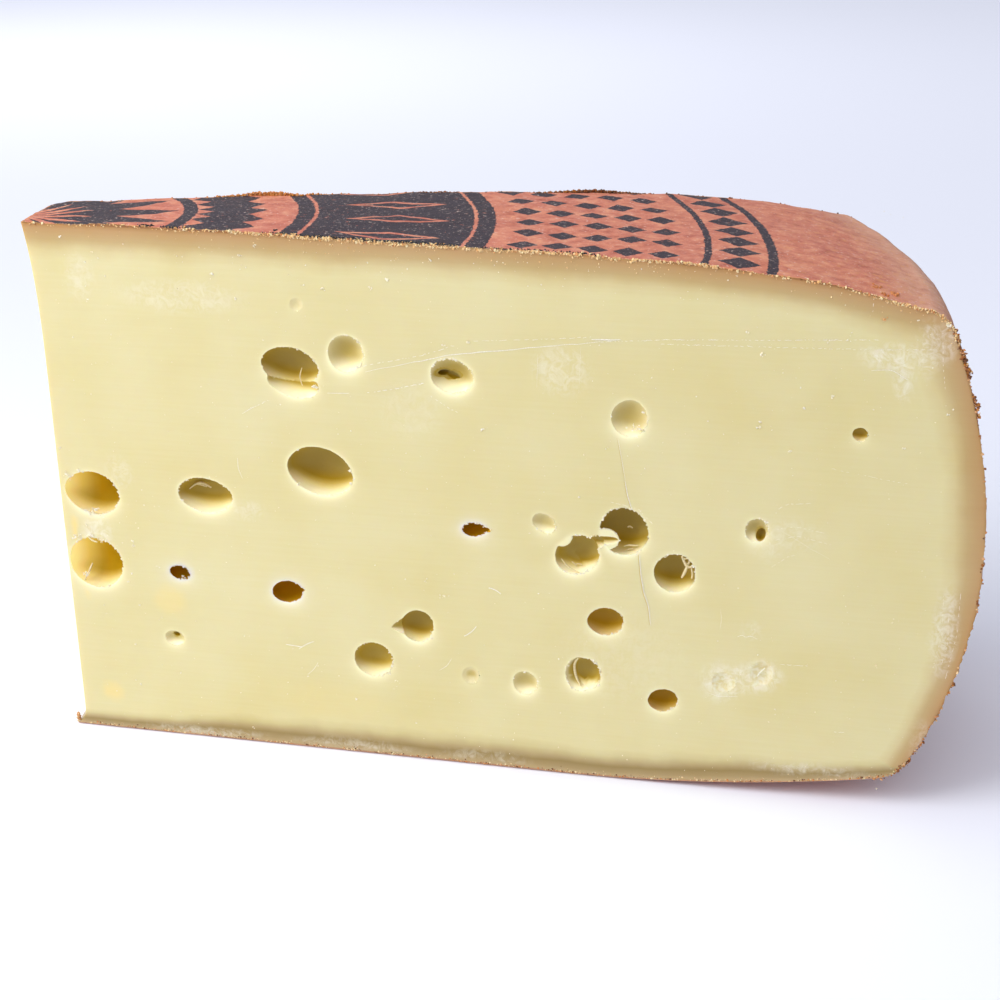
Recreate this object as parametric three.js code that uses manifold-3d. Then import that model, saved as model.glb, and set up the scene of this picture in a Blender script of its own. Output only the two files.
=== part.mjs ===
// A cut piece of an emmental wheel: millimetres, +Z up, resting on the underside of the wheel.
// The big cut face looks along -Y. The tip of the wedge, near the middle of the wheel, is at -X,
// and the heel, which is the outer side of the wheel, is at +X.
// While it is worked out, x runs along the cut face from its left edge, y runs into the cheese
// and z runs up from the table. At the end the piece is moved so that the origin is at the
// middle of the bottom of its bounding box.
import * as THREE from "three";
import { mergeVertices } from "three/addons/utils/BufferGeometryUtils.js";
import Module from "manifold-3d";

// The wheel
const WHEEL_RADIUS = 400; // at the fullest part of the heel
const WHEEL_HEIGHT = 236; // at the middle of the wheel
const AXIS = { x: -7.7, y: 10.5 }; // where the wheel's axis stands, seen from above
const DOME_DROP = 7.2; // how far the top falls evenly towards the edge
const SHOULDER_DROP = 23.3; // and how far it falls again close to the edge
const SHOULDER_POWER = 8;
const DOME_END = 366; // radius where the top starts to turn over into the heel
const FLAT_RADIUS = 235; // the underside is flat out to here
const UNDER_LIFT = 20.3; // and lifts off the table by this much at the wheel's full radius
const HEEL_MIDDLE = 112; // height of the fullest part of the heel
const HEEL_SAG = 25; // how far the heel draws in at its top and bottom
const HEEL_UPPER = 106; // height of the heel above its fullest part
const HEEL_LOWER = 98; // and below it
const CORNER = 7; // the rim's corners are rounded by about this much
const CORNER_STEPS = 3;
const STEPS_ROUND = 180; // flats round the whole wheel
const DOME_STEPS = 28;
const HEEL_STEPS = 15;
const UNDER_STEPS = 9;

// The cuts
const BACK_OFFSET = 43.7; // thickness of the piece at its left end
const BACK_ANGLE = 18.95; // degrees between the front cut and the back cut
const TIP_LEAN = 5; // the left cut leans out this far towards the back
const TIP_CORNER = 9; // the left cut turns over into the back cut in this length
const LIP_TOP = 3; // the rind stands out past the left cut at the top
const LIP_BOTTOM = 3.5; // and at the bottom
const LIP_EDGE = 2; // thickness of each lip at its edge
const LIP_TOP_SWEEP = 76; // the left cut curves out to the top lip over this height
const LIP_TOP_BEND = 14; // most of it this close to the top
const LIP_BOTTOM_SWEEP = 26; // and to the bottom lip over this height
const LIP_BOTTOM_BEND = 8;
const LEFT_INSET = 1.1; // the paste between them lies back by this much
const CURVE_STEPS = 5; // flats on each curve of a cut
const CLEAR = 30; // a cutter reaches past the cheese by this much

// Relief of the rind: the height of each wave in mm, the distance in mm along x, y and z over
// which it turns through one radian, and where it starts. The first two are broad swells.
const RIND_WAVES = [
  { height: 0.3, over: [31, -43, 60], start: 1.3 },
  { height: 0.25, over: [-52, 24, 27], start: 0.4 },
  { height: 0.16, over: [7.3, 8.7, 9.1], start: 2.1 },
  { height: 0.16, over: [9.4, -7.6, -6.9], start: 4.0 },
];
const BASE_CLEAR = [0.5, 12]; // the relief fades out between these heights, so the base is flat

const PASTE = { color: 0xe9dfae, roughness: 0.42, metalness: 0 };

// The eyes, or holes, in the front cut. x and z are the middle of the opening, w and h its width
// and height. cut says where the knife met the eye: -1 only grazed its far wall and left a dimple,
// 0 halved it, and +1 just nicked it and left a small mouth on a wide hollow. tilt turns it, in
// degrees, clockwise. tail is a pointed run out of it: its length and its direction in degrees.
const EYES = [
  { name: "upper left", x: 109.1, z: 181.2, w: 24.2, h: 15.2, cut: 0.2, tilt: 10 },
  { name: "its ledge", x: 109.8, z: 174.6, w: 22.5, h: 13.8, cut: -0.1, tilt: 14 },
  { name: "upper left dimple", x: 133.1, z: 187.6, w: 15.8, h: 16.0, cut: -0.4, tilt: 30 },
  { name: "upper middle dimple", x: 177.1, z: 180.9, w: 18.6, h: 14.8, cut: -0.35, tilt: 12 },
  { name: "largest", x: 119.9, z: 135.3, w: 29.4, h: 21.4, cut: 0.1, tilt: 12 },
  { name: "left of largest", x: 67.8, z: 120.3, w: 24.7, h: 15.8, cut: 0.05, tilt: 7 },
  { name: "left edge upper", x: 15.0, z: 117.4, w: 26.6, h: 19.6, cut: 0.2, tilt: 10 },
  { name: "left edge lower", x: 14.0, z: 83.9, w: 24.4, h: 23.6, cut: 0.1, tilt: 20 },
  { name: "lower left nick", x: 53.5, z: 82.3, w: 8.9, h: 6.5, cut: 0.8, tilt: 6 },
  { name: "lower left dimple", x: 48.3, z: 49.5, w: 9.6, h: 7.6, cut: -0.6, tilt: 0 },
  { name: "lens", x: 102.6, z: 77.4, w: 13.4, h: 9.9, cut: 0.7, tilt: -8, tail: [8.6, 12] },
  { name: "middle lens", x: 185.9, z: 114.0, w: 10.6, h: 6.3, cut: 0.7, tilt: 0, tail: [7.4, 2] },
  { name: "drop", x: 160.6, z: 66.2, w: 14.6, h: 15.2, cut: 0.25, tilt: 0, tail: [11.6, 188] },
  { name: "under drop", x: 140.5, z: 47.9, w: 17.1, h: 16.2, cut: 0.0, tilt: 8 },
  { name: "faint dimple", x: 184.3, z: 44.4, w: 8.2, h: 9.0, cut: -0.75, tilt: 0 },
  { name: "low dimple", x: 208.1, z: 43.3, w: 11.3, h: 11.6, cut: -0.5, tilt: 0 },
  { name: "strand eye", x: 235.0, z: 50.6, w: 12.2, h: 15.2, cut: 0.0, tilt: -10 },
  { name: "its shelf", x: 232.2, z: 50.0, w: 13.0, h: 15.8, cut: -0.5, tilt: 0 },
  { name: "lowest right", x: 267.9, z: 41.1, w: 13.2, h: 11.0, cut: 0.45, tilt: -4 },
  { name: "under pair", x: 242.3, z: 76.3, w: 15.2, h: 12.6, cut: 0.4, tilt: -8 },
  { name: "right of pair", x: 270.4, z: 101.2, w: 16.8, h: 17.0, cut: 0.3, tilt: -20 },
  { name: "pair right", x: 249.2, z: 118.2, w: 20.0, h: 20.8, cut: 0.3, tilt: 0 },
  { name: "pair left", x: 230.9, z: 107.0, w: 15.6, h: 17.2, cut: 0.0, tilt: -20 },
  { name: "pair left shelf", x: 229.0, z: 104.9, w: 17.0, h: 16.0, cut: -0.55, tilt: -30 },
  { name: "teardrop dimple", x: 215.6, z: 119.2, w: 10.6, h: 7.8, cut: -0.5, tilt: 38 },
  { name: "upper right dimple", x: 249.6, z: 167.5, w: 14.2, h: 15.2, cut: -0.4, tilt: 0 },
  { name: "right dimple", x: 302.6, z: 123.2, w: 9.4, h: 10.4, cut: -0.2, tilt: 0 },
  { name: "right pin", x: 339.7, z: 167.0, w: 5.8, h: 5.6, cut: 0.1, tilt: 0 },
  { name: "smear left", x: 292.2, z: 52.1, w: 11.3, h: 13.0, cut: -0.85, tilt: 0 },
  { name: "smear right", x: 307.0, z: 56.6, w: 13.6, h: 11.5, cut: -0.8, tilt: 0 },
  { name: "high pock", x: 112.9, z: 207.3, w: 5.5, h: 5.4, cut: -0.6, tilt: 0 },
];
// A second hollow opens in the bottom of some dimples: its place, size and depth from the cut.
const INNER_HOLLOWS = [
  { name: "slot, left", x: 173.4, z: 182.4, w: 6.2, h: 2.7, y: 5.2, deep: 4.5, tilt: 2 },
  { name: "slot, right", x: 177.8, z: 181.2, w: 6.6, h: 2.7, y: 5.2, deep: 4.5, tilt: 24 },
  { name: "pinhole", x: 48.8, z: 51.0, w: 2.8, h: 2.6, y: 1.4, deep: 2.4, tilt: 0 },
  { name: "corner pit", x: 304.6, z: 121.2, w: 4.2, h: 5.4, y: 3.6, deep: 4.6, tilt: 12 },
];
// Lumps of paste that stand into the mouths of the pair, and a groove that runs between the two.
const LUMPS = [
  { name: "tongue", x: 241.2, z: 114.1, w: 11.4, h: 9.2, y: 0, deep: 8, tilt: 0 },
  { name: "notch", x: 222.4, z: 115.4, w: 9.6, h: 8.0, y: 0, deep: 8, tilt: 0 },
];
const GROOVE = { x: 240.8, z: 115.0, w: 11.6, h: 2.4, y: 0, deep: 3.4, tilt: -6 };

// Eyes in the back cut, placed by a rule because they are out of sight
const BACK_EYES = 13;
const BACK_EYE_SIZE = [9, 27];
const BACK_EYE_MARGIN = 34; // they keep this far from the rind
const BACK_EYE_SPACING = 0.75; // and their middles are this share of their summed widths apart
const BACK_EYE_LIMITS = { flatness: [0.7, 1], cut: [-0.5, 0.5], tilt: [-20, 20] };
const SEED = 20;

// The shape of an eye
const ROUNDNESS = 0.92; // its depth as a share of its mean width
const LUMP = 0.025; // how far its wall is off a true ellipsoid, as a share of its radius
const TAIL = { width: 1.15, height: 0.42, depth: 0.7, reach: 0.42 }; // shares of the tail and eye
const FLATS_PER_MM = 0.8; // flats round it for each mm of width, within the limits below
const FEWEST_FLATS = 10;
const MOST_FLATS = 20;

const wasm = await Module();
wasm.setup();

const radians = THREE.MathUtils.degToRad;

// A small repeatable random generator (mulberry32).
function randomFrom(seed) {
  let state = seed;
  return () => {
    state = (state + 0x6d2b79f5) | 0;
    let t = Math.imul(state ^ (state >>> 15), 1 | state);
    t = (t + Math.imul(t ^ (t >>> 7), 61 | t)) ^ t;
    return ((t ^ (t >>> 14)) >>> 0) / 4294967296;
  };
}

// A closed geometry as a solid that can be joined and cut.
function solidOf(geometry) {
  const bare = geometry.index ? geometry.toNonIndexed() : geometry.clone();
  bare.deleteAttribute("normal");
  bare.deleteAttribute("uv");
  const merged = mergeVertices(bare, 1e-4);
  const mesh = new wasm.Mesh({
    numProp: 3,
    vertProperties: new Float32Array(merged.attributes.position.array),
    triVerts: new Uint32Array(merged.index.array),
  });
  return new wasm.Manifold(mesh);
}

function geometryOf(solid) {
  const mesh = solid.getMesh();
  return new THREE.BufferGeometry()
    .setAttribute("position", new THREE.BufferAttribute(mesh.vertProperties, 3))
    .setIndex(new THREE.BufferAttribute(mesh.triVerts, 1));
}

// Height of the wheel's top at a radius.
function topAt(radius) {
  const share = radius / WHEEL_RADIUS;
  return WHEEL_HEIGHT - DOME_DROP * share ** 2 - SHOULDER_DROP * share ** SHOULDER_POWER;
}

// Height of the wheel's underside at a radius.
function underAt(radius) {
  const past = Math.max(0, radius - FLAT_RADIUS) / (WHEEL_RADIUS - FLAT_RADIUS);
  return UNDER_LIFT * past ** 2;
}

// Radius of the heel at a height.
function heelAt(height) {
  const half = height > HEEL_MIDDLE ? HEEL_UPPER : HEEL_LOWER;
  return WHEEL_RADIUS - HEEL_SAG * ((height - HEEL_MIDDLE) / half) ** 2;
}

// The wheel's section from the middle of its underside, out and up the heel, to the top's middle.
function wheelSection() {
  const points = [new THREE.Vector2(0, 0)];
  const mix = THREE.MathUtils.lerp;
  const lowEnd = heelAt(HEEL_MIDDLE - HEEL_LOWER) - CORNER;
  for (let i = 0; i <= UNDER_STEPS; i++) {
    const r = mix(FLAT_RADIUS, lowEnd, i / UNDER_STEPS);
    points.push(new THREE.Vector2(r, underAt(r)));
  }
  const heelLow = HEEL_MIDDLE - HEEL_LOWER + CORNER;
  const heelHigh = HEEL_MIDDLE + HEEL_UPPER - CORNER;
  const round = (from, tip, to) =>
    new THREE.QuadraticBezierCurve(from, tip, to).getPoints(CORNER_STEPS).slice(1, -1);
  const lowTip = new THREE.Vector2(lowEnd + CORNER, HEEL_MIDDLE - HEEL_LOWER);
  points.push(...round(points.at(-1), lowTip, new THREE.Vector2(heelAt(heelLow), heelLow)));
  for (let i = 0; i <= HEEL_STEPS; i++) {
    const z = mix(heelLow, heelHigh, i / HEEL_STEPS);
    points.push(new THREE.Vector2(heelAt(z), z));
  }
  const highTip = new THREE.Vector2(heelAt(HEEL_MIDDLE + HEEL_UPPER), topAt(DOME_END) - 1);
  points.push(...round(points.at(-1), highTip, new THREE.Vector2(DOME_END, topAt(DOME_END))));
  for (let i = 0; i < DOME_STEPS; i++) {
    const r = DOME_END * (1 - i / DOME_STEPS);
    points.push(new THREE.Vector2(r, topAt(r)));
  }
  points.push(new THREE.Vector2(0, WHEEL_HEIGHT));
  return points;
}

// How far the rind stands out at a point.
function rindRelief({ x, y, z }) {
  const waveAt = ({ height, over, start }) =>
    height * Math.sin(x / over[0] + y / over[1] + z / over[2] + start);
  return RIND_WAVES.reduce((sum, wave) => sum + waveAt(wave), 0);
}

// The whole wheel, turned from its section, with an uneven rind everywhere but on its flat base.
// The relief pushes the heel outwards and the top upwards.
function wheel() {
  const turned = new THREE.LatheGeometry(wheelSection(), STEPS_ROUND).rotateX(Math.PI / 2);
  const place = turned.attributes.position;
  const p = new THREE.Vector3();
  for (let i = 0; i < place.count; i++) {
    p.fromBufferAttribute(place, i);
    const radius = Math.hypot(p.x, p.y);
    const relief = rindRelief(p) * THREE.MathUtils.smoothstep(p.z, ...BASE_CLEAR);
    const upward = THREE.MathUtils.smoothstep(p.z, HEEL_MIDDLE, WHEEL_HEIGHT - HEEL_SAG);
    const outward = (relief * (1 - upward)) / Math.max(radius, 1);
    place.setXYZ(i, p.x * (1 + outward), p.y * (1 + outward), p.z + relief * upward);
  }
  return solidOf(turned).translate([AXIS.x, AXIS.y, 0]);
}

// An outline carried along +z.
function extruded(outline, depth) {
  const settings = { depth, bevelEnabled: false, curveSegments: CURVE_STEPS };
  return new THREE.ExtrudeGeometry(outline, settings);
}

// The piece as the cuts leave it, seen from above, carried up past the wheel.
function planPrism() {
  const slope = Math.tan(radians(BACK_ANGLE));
  const far = WHEEL_RADIUS + CLEAR;
  const left = -LIP_BOTTOM - TIP_LEAN;
  const plan = new THREE.Shape();
  plan.moveTo(-LIP_BOTTOM, 0);
  plan.lineTo(far, 0);
  plan.lineTo(far, BACK_OFFSET + far * slope);
  plan.lineTo(TIP_CORNER, BACK_OFFSET + TIP_CORNER * slope);
  plan.quadraticCurveTo(left, BACK_OFFSET, left, BACK_OFFSET - TIP_CORNER);
  plan.closePath();
  return solidOf(extruded(plan, WHEEL_HEIGHT + 2 * CLEAR).translate(0, 0, -CLEAR));
}

// The space left of the left cut, between the lips of rind. It leans as that cut does.
function leftHollow() {
  const outside = -LIP_BOTTOM - 2 * CLEAR;
  const top = WHEEL_HEIGHT;
  const outline = new THREE.Shape();
  outline.moveTo(outside, -CLEAR);
  outline.lineTo(-LIP_BOTTOM, -CLEAR);
  outline.lineTo(-LIP_BOTTOM, LIP_EDGE);
  outline.quadraticCurveTo(LEFT_INSET, LIP_BOTTOM_BEND, LEFT_INSET, LIP_BOTTOM_SWEEP);
  outline.lineTo(LEFT_INSET, top - LIP_TOP_SWEEP);
  outline.quadraticCurveTo(LEFT_INSET, top - LIP_TOP_BEND, -LIP_TOP, top - LIP_EDGE);
  outline.lineTo(-LIP_TOP, top + CLEAR);
  outline.lineTo(outside, top + CLEAR);
  outline.closePath();
  const depth = BACK_OFFSET + 2 * CLEAR;
  const space = extruded(outline, depth).rotateX(Math.PI / 2); // it stands up and runs along -y
  space.translate(0, depth - CLEAR, 0);
  const lean = -TIP_LEAN / BACK_OFFSET; // x goes out as y goes in
  return solidOf(space.applyMatrix4(new THREE.Matrix4().makeShear(0, 0, lean, 0, 0, 0)));
}

// A lumpy ball of radius 1, as an eye is, with about the given number of flats round it.
function lumpyBall(flats, seed) {
  const ball = new THREE.SphereGeometry(1, flats, Math.round(flats / 2)).rotateX(Math.PI / 2);
  const place = ball.attributes.position;
  const p = new THREE.Vector3();
  for (let i = 0; i < place.count; i++) {
    p.fromBufferAttribute(place, i);
    const lump = Math.sin(2.3 * p.x + seed) * Math.sin(2.9 * p.z - 2 * seed) + Math.sin(3.1 * p.y + seed);
    p.multiplyScalar(1 + LUMP * lump);
    place.setXYZ(i, p.x, p.y, p.z);
  }
  return ball;
}

// An ellipsoid of the given full sizes, tilted in the cut face, with its middle at depth y.
function hollow({ x, z, w, h, y, deep, tilt }, seed) {
  const flats = THREE.MathUtils.clamp(Math.round(w * FLATS_PER_MM), FEWEST_FLATS, MOST_FLATS);
  const ball = lumpyBall(flats, seed);
  ball.scale(w / 2, deep / 2, h / 2);
  ball.rotateY(radians(tilt));
  return ball.translate(x, y, z);
}

// The cutters of one eye: its hollow, and its tail if it has one.
function eyeCutters(eye, seed) {
  const wider = 1 / Math.sqrt(1 - eye.cut ** 2);
  const w = eye.w * wider;
  const h = eye.h * wider;
  const deep = ROUNDNESS * Math.sqrt(w * h);
  const cutters = [hollow({ ...eye, w, h, deep, y: (eye.cut * deep) / 2 }, seed)];
  if (eye.tail) {
    const [reach, angle] = eye.tail;
    const size = { w: reach * TAIL.width, h: eye.h * TAIL.height, deep: eye.h * TAIL.depth, y: 0 };
    const x = eye.x + Math.cos(radians(angle)) * reach * TAIL.reach;
    const z = eye.z + Math.sin(radians(angle)) * reach * TAIL.reach;
    cutters.push(hollow({ x, z, ...size, tilt: -angle }, seed));
  }
  return cutters.map(solidOf);
}

// All the hollows of the front cut as one solid.
function frontHollows() {
  const cutters = EYES.flatMap((eye, i) => eyeCutters(eye, i + 1));
  cutters.push(...INNER_HOLLOWS.map((inner, i) => solidOf(hollow(inner, i))));
  const lumps = LUMPS.map((lump) => solidOf(hollow(lump, 1)));
  const opened = wasm.Manifold.union(cutters).subtract(wasm.Manifold.union(lumps));
  return opened.add(solidOf(hollow(GROOVE, 1)));
}

// Eyes of the back cut, each clear of the others.
function backHollows() {
  const random = randomFrom(SEED);
  const within = ([low, high]) => low + (high - low) * random();
  const placed = [];
  while (placed.length < BACK_EYES) {
    const w = within(BACK_EYE_SIZE);
    const eye = {
      x: within([BACK_EYE_MARGIN, WHEEL_RADIUS - 2 * BACK_EYE_MARGIN]),
      z: within([BACK_EYE_MARGIN, WHEEL_HEIGHT - BACK_EYE_MARGIN]),
      w,
      h: w * within(BACK_EYE_LIMITS.flatness),
      cut: within(BACK_EYE_LIMITS.cut),
      tilt: within(BACK_EYE_LIMITS.tilt),
    };
    const room = (other) => (eye.w + other.w) * BACK_EYE_SPACING;
    const clear = (other) => Math.hypot(eye.x - other.x, eye.z - other.z) > room(other);
    if (placed.every(clear)) placed.push(eye);
  }
  // Seen from behind, into the cheese is -y, so the eyes are turned half round with their face.
  return wasm.Manifold.union(placed.flatMap((eye, i) => eyeCutters(eye, i + 40)))
    .scale([1, -1, 1])
    .rotate([0, 0, BACK_ANGLE])
    .translate([0, BACK_OFFSET, 0]);
}

const piece = wheel()
  .intersect(planPrism())
  .subtract(leftHollow())
  .subtract(frontHollows())
  .subtract(backHollows());

const geometry = geometryOf(piece);
geometry.computeBoundingBox();
const middle = geometry.boundingBox.getCenter(new THREE.Vector3());
geometry.translate(-middle.x, -middle.y, -geometry.boundingBox.min.z);

const emmental = new THREE.Mesh(geometry, new THREE.MeshStandardMaterial(PASTE));
emmental.name = "emmental";

const group = new THREE.Group();
group.add(emmental);

export default group;
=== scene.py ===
# %% [markdown]
# # A cut piece of an emmental wheel
# This is a large wedge cut from a wheel of hard cheese about 80 cm across. Two knife cuts run in
# from the side of the wheel and a third takes off the tip, so the piece shows pale paste with
# round eyes on its cuts, and dry reddish rind on the top, the bottom and the heel. The packed
# model gives the true size and place, and every piece below is made around it.

# %% Load the frame
import math
import random

import bmesh
import bpy
from mathutils import Euler, Matrix, Vector, kdtree, noise


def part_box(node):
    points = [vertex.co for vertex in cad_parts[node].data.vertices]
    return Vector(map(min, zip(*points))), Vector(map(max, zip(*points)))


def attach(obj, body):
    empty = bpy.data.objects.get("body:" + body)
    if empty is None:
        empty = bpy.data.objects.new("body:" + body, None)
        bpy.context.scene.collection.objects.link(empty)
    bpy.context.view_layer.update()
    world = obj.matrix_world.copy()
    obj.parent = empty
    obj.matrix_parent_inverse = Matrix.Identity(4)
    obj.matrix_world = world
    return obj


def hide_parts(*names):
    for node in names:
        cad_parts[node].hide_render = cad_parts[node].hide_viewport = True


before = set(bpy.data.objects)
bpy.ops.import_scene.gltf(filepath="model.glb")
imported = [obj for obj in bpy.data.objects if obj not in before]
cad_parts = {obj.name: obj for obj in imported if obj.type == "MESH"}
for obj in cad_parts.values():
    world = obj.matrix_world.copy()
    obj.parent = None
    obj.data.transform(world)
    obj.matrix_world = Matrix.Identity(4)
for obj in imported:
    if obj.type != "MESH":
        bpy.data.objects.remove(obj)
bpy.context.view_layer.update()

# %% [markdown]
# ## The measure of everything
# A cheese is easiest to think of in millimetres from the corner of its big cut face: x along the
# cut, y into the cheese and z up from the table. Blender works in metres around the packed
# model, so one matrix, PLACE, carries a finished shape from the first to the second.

LOW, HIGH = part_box("emmental")
MM = 0.001
TIP_REACH = 7.84  # mm from the box's left side to the left edge of the cut face
CORNER = Vector((LOW.x + TIP_REACH * MM, LOW.y, LOW.z))
PLACE = Matrix.Translation(CORNER) @ Matrix.Scale(MM, 4)
print("box in mm", [round(v / MM, 1) for v in HIGH - LOW])


def mix(a, b, share):
    return a + (b - a) * share


def step(low, high, value):
    """0 below low, 1 above high and smooth between."""
    t = min(1, max(0, (value - low) / (high - low)))
    return t * t * (3 - 2 * t)


def add_object(name, data):
    made = bpy.data.objects.new(name, data)
    bpy.context.scene.collection.objects.link(made)
    return made


# %% [markdown]
# ## The wheel the piece was cut from
# The top of a wheel domes as gas swells the eyes, and turns over towards the rim. The underside
# stays flat where it lay on the board and lifts near the edge. The heel bulges between them.
# Three short formulas hold that section, and turning it round the wheel's axis gives the rind.

# %% Section of the wheel
RADIUS = 400
HEIGHT = 236
AXIS = Vector((-7.7, 10.5))  # of the wheel, seen from above
DOME_DROP, SHOULDER_DROP, SHOULDER_POWER, DOME_END = 7.2, 23.3, 8, 366
FLAT_RADIUS, UNDER_LIFT = 235, 20.3
HEEL_MIDDLE, HEEL_SAG, HEEL_UPPER, HEEL_LOWER = 112, 25, 106, 98
RIM_RADIUS = RADIUS - HEEL_SAG  # where the heel meets the top and the underside
RIM_ROUND = 7


def top_at(r):
    share = min(r, DOME_END) / RADIUS
    beyond = max(0, r - DOME_END) / 9
    return HEIGHT - DOME_DROP * share**2 - SHOULDER_DROP * share**SHOULDER_POWER - beyond


def under_at(r):
    past = max(0, r - FLAT_RADIUS) / (RADIUS - FLAT_RADIUS)
    return UNDER_LIFT * past**2


def heel_at(z):
    half = HEEL_UPPER if z > HEEL_MIDDLE else HEEL_LOWER
    return RADIUS - HEEL_SAG * ((z - HEEL_MIDDLE) / half) ** 2


def from_axis(x, y):
    return math.hypot(x - AXIS.x, y - AXIS.y)


print("rim heights", round(under_at(RIM_RADIUS), 1), round(top_at(RIM_RADIUS), 1))

# %% [markdown]
# ## The three cuts
# The front cut is the plane y = 0. The back cut swings away from it by 19 degrees. The tip cut
# is nearly square to the front, but the blade wandered, so it hollows a little and leaves thin
# lips of rind at its top and bottom. A point of the block has three shares: a along the piece,
# b from front to back and c from bottom to top. block_point bends those shares to the real form.

# %% Where a share of the block lies
BACK_OFFSET, BACK_SLOPE = 43.7, math.tan(math.radians(18.95))
TIP_LEAN, TIP_ROUND = 5, 9
LEFT_INSET, LIP_TOP, LIP_BOTTOM, LIP_POWER = 1.1, 3, 3.5, 3.4
LIP_TOP_SWEEP, LIP_BOTTOM_SWEEP = 76, 10


def left_edge(y, z):
    """x of the tip cut."""
    up = max(0, (z - HEIGHT + LIP_TOP_SWEEP) / LIP_TOP_SWEEP)
    down = max(0, 1 - z / LIP_BOTTOM_SWEEP)
    lips = (LEFT_INSET + LIP_TOP) * up**LIP_POWER + (LEFT_INSET + LIP_BOTTOM) * down**LIP_POWER
    return LEFT_INSET - lips - TIP_LEAN * y / BACK_OFFSET


def right_edge(b, radius):
    """x where the plane at share b between the cuts meets a circle round the wheel's axis."""
    slope = b * BACK_SLOPE
    rise = b * BACK_OFFSET - AXIS.y
    square = 1 + slope**2
    half = AXIS.x - slope * rise
    return (half + math.sqrt(half**2 - square * (AXIS.x**2 + rise**2 - radius**2))) / square


def rounded(p, q, size):
    """Two distances from a sharp edge, drawn in so that the edge becomes an arc."""
    if p >= size or q >= size:
        return p, q
    s, t = 1 - p / size, 1 - q / size
    return size * (1 - s * math.sqrt(1 - t * t / 2)), size * (1 - t * math.sqrt(1 - s * s / 2))


def block_point(a, b, c):
    long, tall, thick = RADIUS, top_at(RIM_RADIUS) - under_at(RIM_RADIUS), BACK_OFFSET
    back, high = rounded((1 - a) * long, (1 - c) * tall, RIM_ROUND)
    back, low = rounded(back, c * tall, RIM_ROUND)
    a, c = 1 - back / long, (low if c < 0.5 else tall - high) / tall
    near, far = rounded(a * long, (1 - b) * thick, TIP_ROUND)
    a, b = near / long, 1 - far / thick
    rim_z = mix(under_at(RIM_RADIUS), top_at(RIM_RADIUS), c)
    x = mix(left_edge(b * BACK_OFFSET, c * HEIGHT), right_edge(b, heel_at(rim_z)), a)
    y = b * (BACK_OFFSET + BACK_SLOPE * x)
    r = min(from_axis(x, y), RIM_RADIUS)
    return Vector((x, y, mix(under_at(r), top_at(r), c)))


print("front top right corner", [round(v, 1) for v in block_point(1, 0, 1)])

# %% [markdown]
# ## The eyes
# Gas blows round eyes in the warm paste. The knife meets them anywhere: it halves one, only
# grazes the far wall of another and leaves a dimple, and nicks a third so that a small mouth
# opens on a wide hollow. Each eye is written as it shows in the cut: middle, width, height, how
# the knife met it (cut, from -1 for a graze to 1 for a nick) and tilt in degrees.

# %% Eyes of the front cut
EYES = {
    "upper_left": (109.1, 180.4, 24.2, 16.8, 0.2, 10),
    "its_ledge": (110.0, 173.5, 22.3, 11.6, -0.1, 13),
    "upper_dimple": (133.1, 187.6, 15.8, 16.0, -0.4, 30),
    "slotted_dimple": (177.1, 180.9, 18.6, 14.8, -0.35, 12),
    "largest": (119.9, 135.3, 29.4, 21.4, 0.1, 12),
    "left_of_largest": (67.8, 120.3, 24.7, 15.8, 0.05, 7),
    "edge_upper": (15.9, 117.4, 24.8, 19.6, 0.25, 10),
    "edge_lower": (14.3, 83.9, 24.4, 23.6, 0.15, 20),
    "lower_left_nick": (53.5, 82.3, 8.9, 6.5, 0.8, 6),
    "pinhole_dimple": (48.3, 49.5, 9.6, 7.6, -0.6, 0),
    "lens": (102.6, 77.4, 13.4, 9.9, 0.7, -8),
    "middle_lens": (185.9, 114.0, 10.6, 6.3, 0.7, 0),
    "drop": (160.6, 66.2, 14.6, 15.2, 0.25, 0),
    "under_drop": (140.5, 47.9, 17.1, 16.2, 0.0, 8),
    "faint_dimple": (184.3, 44.4, 8.2, 9.0, -0.88, 0),
    "low_dimple": (208.1, 43.3, 11.3, 11.6, -0.5, 0),
    "strand_eye": (235.0, 50.6, 12.2, 15.2, 0.0, -10),
    "its_shelf": (232.2, 50.0, 13.0, 15.8, -0.5, 0),
    "lowest_right": (267.9, 41.1, 13.2, 11.0, 0.45, -4),
    "under_pair": (242.3, 76.3, 15.2, 12.6, 0.4, -8),
    "right_of_pair": (270.4, 101.2, 16.8, 17.0, 0.3, -20),
    "pair_right": (248.9, 118.2, 19.6, 20.8, 0.3, 0),
    "pair_left": (230.9, 106.9, 16.4, 17.4, 0.0, -20),
    "pair_left_shelf": (228.8, 105.4, 17.4, 16.4, -0.1, -30),
    "teardrop_dimple": (215.6, 119.2, 10.6, 7.8, -0.5, 38),
    "upper_right_dimple": (249.6, 167.5, 14.2, 15.2, -0.4, 0),
    "right_dimple": (302.6, 123.2, 9.4, 10.4, -0.2, 0),
    "right_pin": (339.7, 167.0, 5.8, 5.6, 0.35, 0),
    "smear_left": (292.6, 52.6, 8.4, 8.0, -0.95, 0),
    "smear_right": (308.6, 57.4, 8.0, 9.6, -0.94, 0),
    "high_pock": (112.9, 207.3, 5.5, 5.4, -0.9, 0),
}
# A pointed run out of an eye: its length and its direction in degrees.
TAILS = {"lens": (8.4, 12), "middle_lens": (7.6, 2), "drop": (11.8, 188)}
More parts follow.
